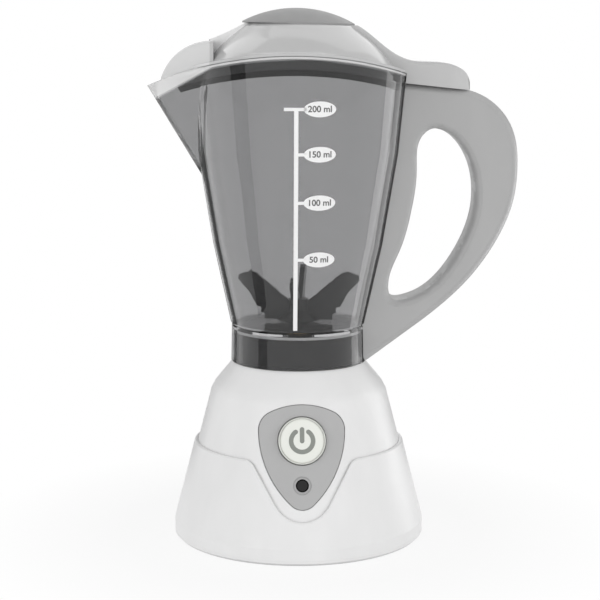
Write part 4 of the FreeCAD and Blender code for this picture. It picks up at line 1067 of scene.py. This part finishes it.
# ---------------------------------------------------------------- base
@dataclass
class PowerMark:
    """Standby sign printed on the button: an open ring with an upright bar."""

    centre_z: float = 40.3 * MM
    face_y: float = -33.65 * MM
    slope: float = 0.26
    proud: float = 1.0 * MM
    ring_r: float = 3.67 * MM
    stroke: float = 1.5 * MM
    opening: float = 35.0
    bar_low: float = -0.8 * MM
    bar_high: float = 4.6 * MM
    thickness: float = 0.05 * MM
    ring_steps: int = 56
    end_sides: int = 28
    end_share: float = 0.9  # the round ends stay just below the strokes' faces

    def seat(self) -> Matrix:
        """Returns the placing of the button's face, with +Z out of it and +Y up the cone."""
        place = Matrix.Translation(Vector((0, self.face_y, self.centre_z)))
        turn = Matrix.Rotation(math.pi / 2 - math.atan(self.slope), 4, "X")
        return place @ turn @ Matrix.Translation(Vector((0, 0, self.proud)))

    def ring(self) -> bpy.types.Object:
        """Spins the stroke's section round the centre, open at the top.

        Returns:
            The open ring, lying flat at the origin.
        """
        bpy.ops.mesh.primitive_plane_add(
            size=1.0, location=(self.ring_r, 0, self.thickness / 2), rotation=UPRIGHT)
        piece = latest("power_ring")
        piece.scale = (self.stroke, self.thickness, 1)
        rooted(piece)
        with editing(piece):
            bpy.ops.mesh.spin(steps=self.ring_steps, center=(0, 0, 0), axis=(0, 0, 1),
                              angle=math.radians(360 - 2 * self.opening))
        return piece

    def stud(self, x: float, y: float) -> bpy.types.Object:
        """Makes the round end of a stroke.

        Args:
            x: its middle across the face.
            y: its middle up the face.

        Returns:
            The disc.
        """
        deep = self.thickness * self.end_share
        bpy.ops.mesh.primitive_cylinder_add(vertices=self.end_sides, radius=self.stroke / 2,
                                            depth=deep, location=(x, y, deep / 2))
        return latest("power_end")

    def build(self, ink: bpy.types.Material) -> None:
        """Prints the sign on the button.

        Args:
            ink: the sign's ink.
        """
        start = math.radians(90 - self.opening)
        ring = self.ring()
        ring.rotation_euler = (0, 0, start)
        out, up = self.ring_r * math.cos(start), self.ring_r * math.sin(start)
        ends = [self.stud(-out, up), self.stud(out, up)]
        low = self.bar_low + self.stroke / 2
        high = self.bar_high - self.stroke / 2
        bpy.ops.mesh.primitive_cube_add(
            size=1.0, location=(0, (low + high) / 2, self.thickness / 2))
        bar = latest("power_bar")
        bar.scale = (self.stroke, high - low, self.thickness)
        strokes = [ring, *ends, self.stud(0, low), self.stud(0, high), bar]
        for item in strokes:
            rooted(item)
        sign = merged(strokes, "button_power_sign")
        sign.data.transform(self.seat())
        with editing(sign):
            bpy.ops.mesh.remove_doubles(threshold=WELD)
            bpy.ops.mesh.normals_make_consistent(inside=False)
        settle(sign, "button", ink)


@dataclass
class ControlGroup:
    """Panel, button and lamp on the front of the base."""

    # painted shade: the occlusion reaches 3 mm here, a soft painted shadow round the button and
    # the lamp
    panel: Plastic = Plastic("panel_satin_grey", grey(184), Sheen.SATIN, 0.06, crease_shade=0.5,
                             crease_shade_reach=3.0 * MM)
    button: Plastic = Plastic("button_gloss_white", (0.90, 0.915, 0.86), Sheen.GLOSS, 0.01)
    button_round: float = 0.75 * MM
    button_steps: int = 3
    button_front: float = -31.0 * MM
    button_angle: float = 40.0
    lens: Plastic = Plastic("lamp_smoked_lens", grey(30), Sheen.GLOSS, 0.01, specular=0.3)
    sign: Ink = Ink("sign_grey_ink", (0.285, 0.30, 0.275))

    def build(self) -> None:
        """Dresses the front group and prints the sign."""
        dress(self.panel.make(), "control_panel")
        cap = welded("push_button", "push_button_moulded")
        eased(cap, self.button_round, self.button_steps,
              lambda place: place.y < self.button_front)
        stand_for(cap, "push_button", self.button.make(), self.button_angle, True)
        dress(self.lens.make(), "indicator_led")
        PowerMark().build(self.sign.make())


@dataclass
class MotorBase:
    """White shells with the gear train, the board and the cells inside."""

    shell: Plastic = Plastic("shell_white_satin", grey(241), Sheen.SATIN, 0.05)
    cover_angle: float = 30.0
    dark: Plastic = Plastic("switch_dark", grey(52), Sheen.SATIN, 0.05)
    gear: Plastic = Plastic("gear_natural_white", (0.74, 0.72, 0.66), Sheen.SATIN, 0.04)
    screw: Metal = Metal("screw_zinc", (0.62, 0.62, 0.63), 0.34, (1, 1, 6))
    can: Metal = Metal("motor_can", (0.66, 0.66, 0.67), 0.30, (1, 1, 18))
    board: BoardLacquer = BoardLacquer("board_green_lacquer")

    def build(self) -> None:
        """Dresses the base's nodes."""
        white = self.shell.make()
        dress(white, "lower_shell", "base_plate", "battery_door")
        cover = welded("upper_cover", "upper_cover_moulded")
        stand_for(cover, "upper_cover", white, self.cover_angle, True)
        dress(self.dark.make(), "switch_plunger", "power_switch")
        dress(self.gear.make(), "drive_gear", "gear_plate")
        dress(self.screw.make(), "door_screw", "base_screws", "battery_contacts", "button_spring",
              "board_screws", "motor_screws", "gear_plate_screws", "shaft_clip", "handle_screws")
        dress(self.can.make(), "motor")
        dress(self.board.make(), "circuit_board")
        low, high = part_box("battery_cells")
        jacket = CellJacket("cell_plain_sleeve", sleeve=(0.03, 0.03, 0.032),
                            band=(0.62, 0.36, 0.12), metal=(0.66, 0.66, 0.66),
                            middle_y=(low.y + high.y) / 2, half_length=(high.x - low.x) / 2)
        dress(jacket.make(), "battery_cells")


# ---------------------------------------------------------------- studio
@dataclass(frozen=True)
class Fixture:
    """One lamp or card: its place round the middle, its size and its strength."""

    name: str
    azimuth: float  # degrees to the right of the front
    elevation: float  # degrees above the middle
    distance: float  # metres from the middle
    size: Span  # width and height in metres
    level: float  # a lamp's watts, or a card's brightness, where 0 is a black flag
    seen_by: tuple[str, ...] = ("glossy",)  # the kinds of ray that meet a card


@dataclass
class Studio:
    """Pale floor, soft lamps, white surroundings and the camera."""

    middle_z: float = 82.6 * MM
    distance: float = 577.5 * MM
    pitch: float = 9.1
    azimuth: float = -2.0
    aside: float = 0.5 * MM
    lens: float = 99.0
    sensor: float = 36.0
    near: float = 0.01
    world_level: float = 0.55
    floor_r: float = 6.0
    floor_sides: int = 96
    floor_drop: float = 0.01 * MM
    floor_tone: float = 0.93
    floor_rough: float = 0.9
    floor_lift: float = 0.86
    floor_fade: Span = (0.062, 0.12)
    lamps: tuple[Fixture, ...] = (
        Fixture("key_softbox", -50, 10, 1.1, (0.9, 0.7), 3.9),
        Fixture("fill_softbox", 54, 10, 1.1, (0.9, 0.7), 3.9),
    )
    cards: tuple[Fixture, ...] = (
        Fixture("left_flag", -61, 0, 0.162, (0.048, 0.17), 0.0),
        Fixture("right_card", 104, -7.5, 0.157, (0.054, 0.164), 2.7),
        Fixture("left_edge_flag", -168, 0, 0.17, (0.06, 0.17), 0.0),
        Fixture("back_left_flag", -140, 0, 0.17, (0.07, 0.17), 0.10, ("glossy", "transmission")),
        Fixture("back_right_flag", 142, 0, 0.17, (0.07, 0.17), 0.10, ("glossy", "transmission")),
        Fixture("lid_right_window", 165, 40, 1.0, (0.74, 0.66), 1.6),
        Fixture("lid_left_window", -147, 40, 1.0, (0.30, 0.50), 1.8),
    )

    @property
    def middle(self) -> Vector:
        """The point that the camera, the lamps and the cards face."""
        return Vector((0, 0, self.middle_z))

    def polar(self, azimuth: float, elevation: float, distance: float) -> Vector:
        """Returns a point round the middle of the object.

        Args:
            azimuth: degrees to the right of the front.
            elevation: degrees above the middle.
            distance: metres from the middle.

        Returns:
            The point.
        """
        a, e = math.radians(azimuth), math.radians(elevation)
        out = Vector((math.sin(a) * math.cos(e), -math.cos(a) * math.cos(e), math.sin(e)))
        return out * distance + self.middle

    def aim(self, item: bpy.types.Object) -> None:
        """Turns a lamp, a card or the camera towards the middle.

        Args:
            item: the object to turn.
        """
        item.rotation_euler = (self.middle - item.location).to_track_quat("-Z", "Y").to_euler()

    def camera(self) -> None:
        """Adds the camera."""
        place = self.polar(self.azimuth, self.pitch, self.distance)
        bpy.ops.object.camera_add(location=place)
        item = bpy.context.view_layer.objects.active
        item.name = "studio_camera"
        self.aim(item)
        item.location += item.rotation_euler.to_matrix() @ Vector((self.aside, 0, 0))
        item.data.lens = self.lens
        item.data.sensor_width = self.sensor
        item.data.clip_start = self.near
        bpy.context.scene.camera = item

    def lamp(self, plan: Fixture) -> None:
        """Adds one soft lamp that faces the object.

        Args:
            plan: the lamp's place, size and power.
        """
        place = self.polar(plan.azimuth, plan.elevation, plan.distance)
        bpy.ops.object.light_add(type="AREA", location=place)
        item = bpy.context.view_layer.objects.active
        item.name = plan.name
        item.data.shape = "RECTANGLE"
        item.data.size, item.data.size_y = plan.size
        item.data.energy = plan.level
        item.visible_glossy = False
        item.visible_transmission = False
        self.aim(item)

    def card(self, plan: Fixture) -> None:
        """Adds one plain card that only gloss or clear plastic sees.

        Args:
            plan: the card's place, size and brightness.
        """
        place = self.polar(plan.azimuth, plan.elevation, plan.distance)
        bpy.ops.mesh.primitive_plane_add(size=1.0, location=place)
        piece = latest(plan.name)
        piece.scale = (*plan.size, 1)
        self.aim(piece)
        material, graph, shader = blank(plan.name + "_face")
        graph.join(shader, "Base Color", rgba(BLACK))
        graph.join(shader, "Roughness", 1.0)
        graph.join(shader, "Specular IOR Level", 0.0)
        graph.join(shader, "Emission Color", rgba(WHITE))
        graph.join(shader, "Emission Strength", plan.level)
        piece.data.materials.append(material)
        for kind in ("camera", "diffuse", "glossy", "transmission", "volume_scatter", "shadow"):
            setattr(piece, "visible_" + kind, kind in plan.seen_by)

    def floor(self) -> None:
        """Adds the pale floor."""
        bpy.ops.mesh.primitive_circle_add(vertices=self.floor_sides, radius=self.floor_r,
                                          fill_type="NGON", location=(0, 0, -self.floor_drop))
        piece = latest("studio_floor")
        material, graph, shader = blank("floor_pale_matt")
        graph.join(shader, "Base Color", rgba((self.floor_tone,) * 3))
        graph.join(shader, "Roughness", self.floor_rough)
        graph.join(shader, "Specular IOR Level", 0.0)
        glow = graph.add("ShaderNodeEmission", Color=rgba(WHITE), Strength=1.0)
        away = graph.add("ShaderNodeVectorMath", {"operation": "LENGTH"}, Vector=graph.place())
        fade = graph.spread(away.outputs["Value"], self.floor_lift, 1.0, self.floor_fade)
        mix = graph.add("ShaderNodeMixShader", Fac=graph.math("MULTIPLY", graph.seen(), fade))
        graph.join(mix, 1, shader.outputs[0])
        graph.join(mix, 2, glow.outputs[0])
        graph.join(graph.tree.nodes["Material Output"], "Surface", mix.outputs[0])
        piece.data.materials.append(material)

    def surroundings(self) -> None:
        """Sets the white surroundings."""
        world = bpy.data.worlds.new("studio_white")
        world.use_nodes = True
        bpy.context.scene.world = world
        graph = Graph(world.node_tree)
        back = world.node_tree.nodes["Background"]
        level = graph.spread(graph.seen(), self.world_level, 1.0, (0.0, 1.0))
        graph.join(back, "Color", rgba(WHITE))
        graph.join(back, "Strength", level)

    def build(self) -> None:
        """Sets up the whole studio."""
        self.camera()
        self.surroundings()
        self.floor()
        for plan in self.lamps:
            self.lamp(plan)
        for plan in self.cards:
            self.card(plan)
        bpy.context.scene.view_settings.view_transform = "Standard"
        log.info("studio is set")


def main() -> None:
    """Builds the studio and every sub-assembly in order."""
    for part in (Studio(), MotorBase(), ControlGroup(), Rotor(), Jug(), Lid()):
        part.build()
        log.info("%s is done", type(part).__name__)


if __name__ == "__main__":
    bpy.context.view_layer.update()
    main()
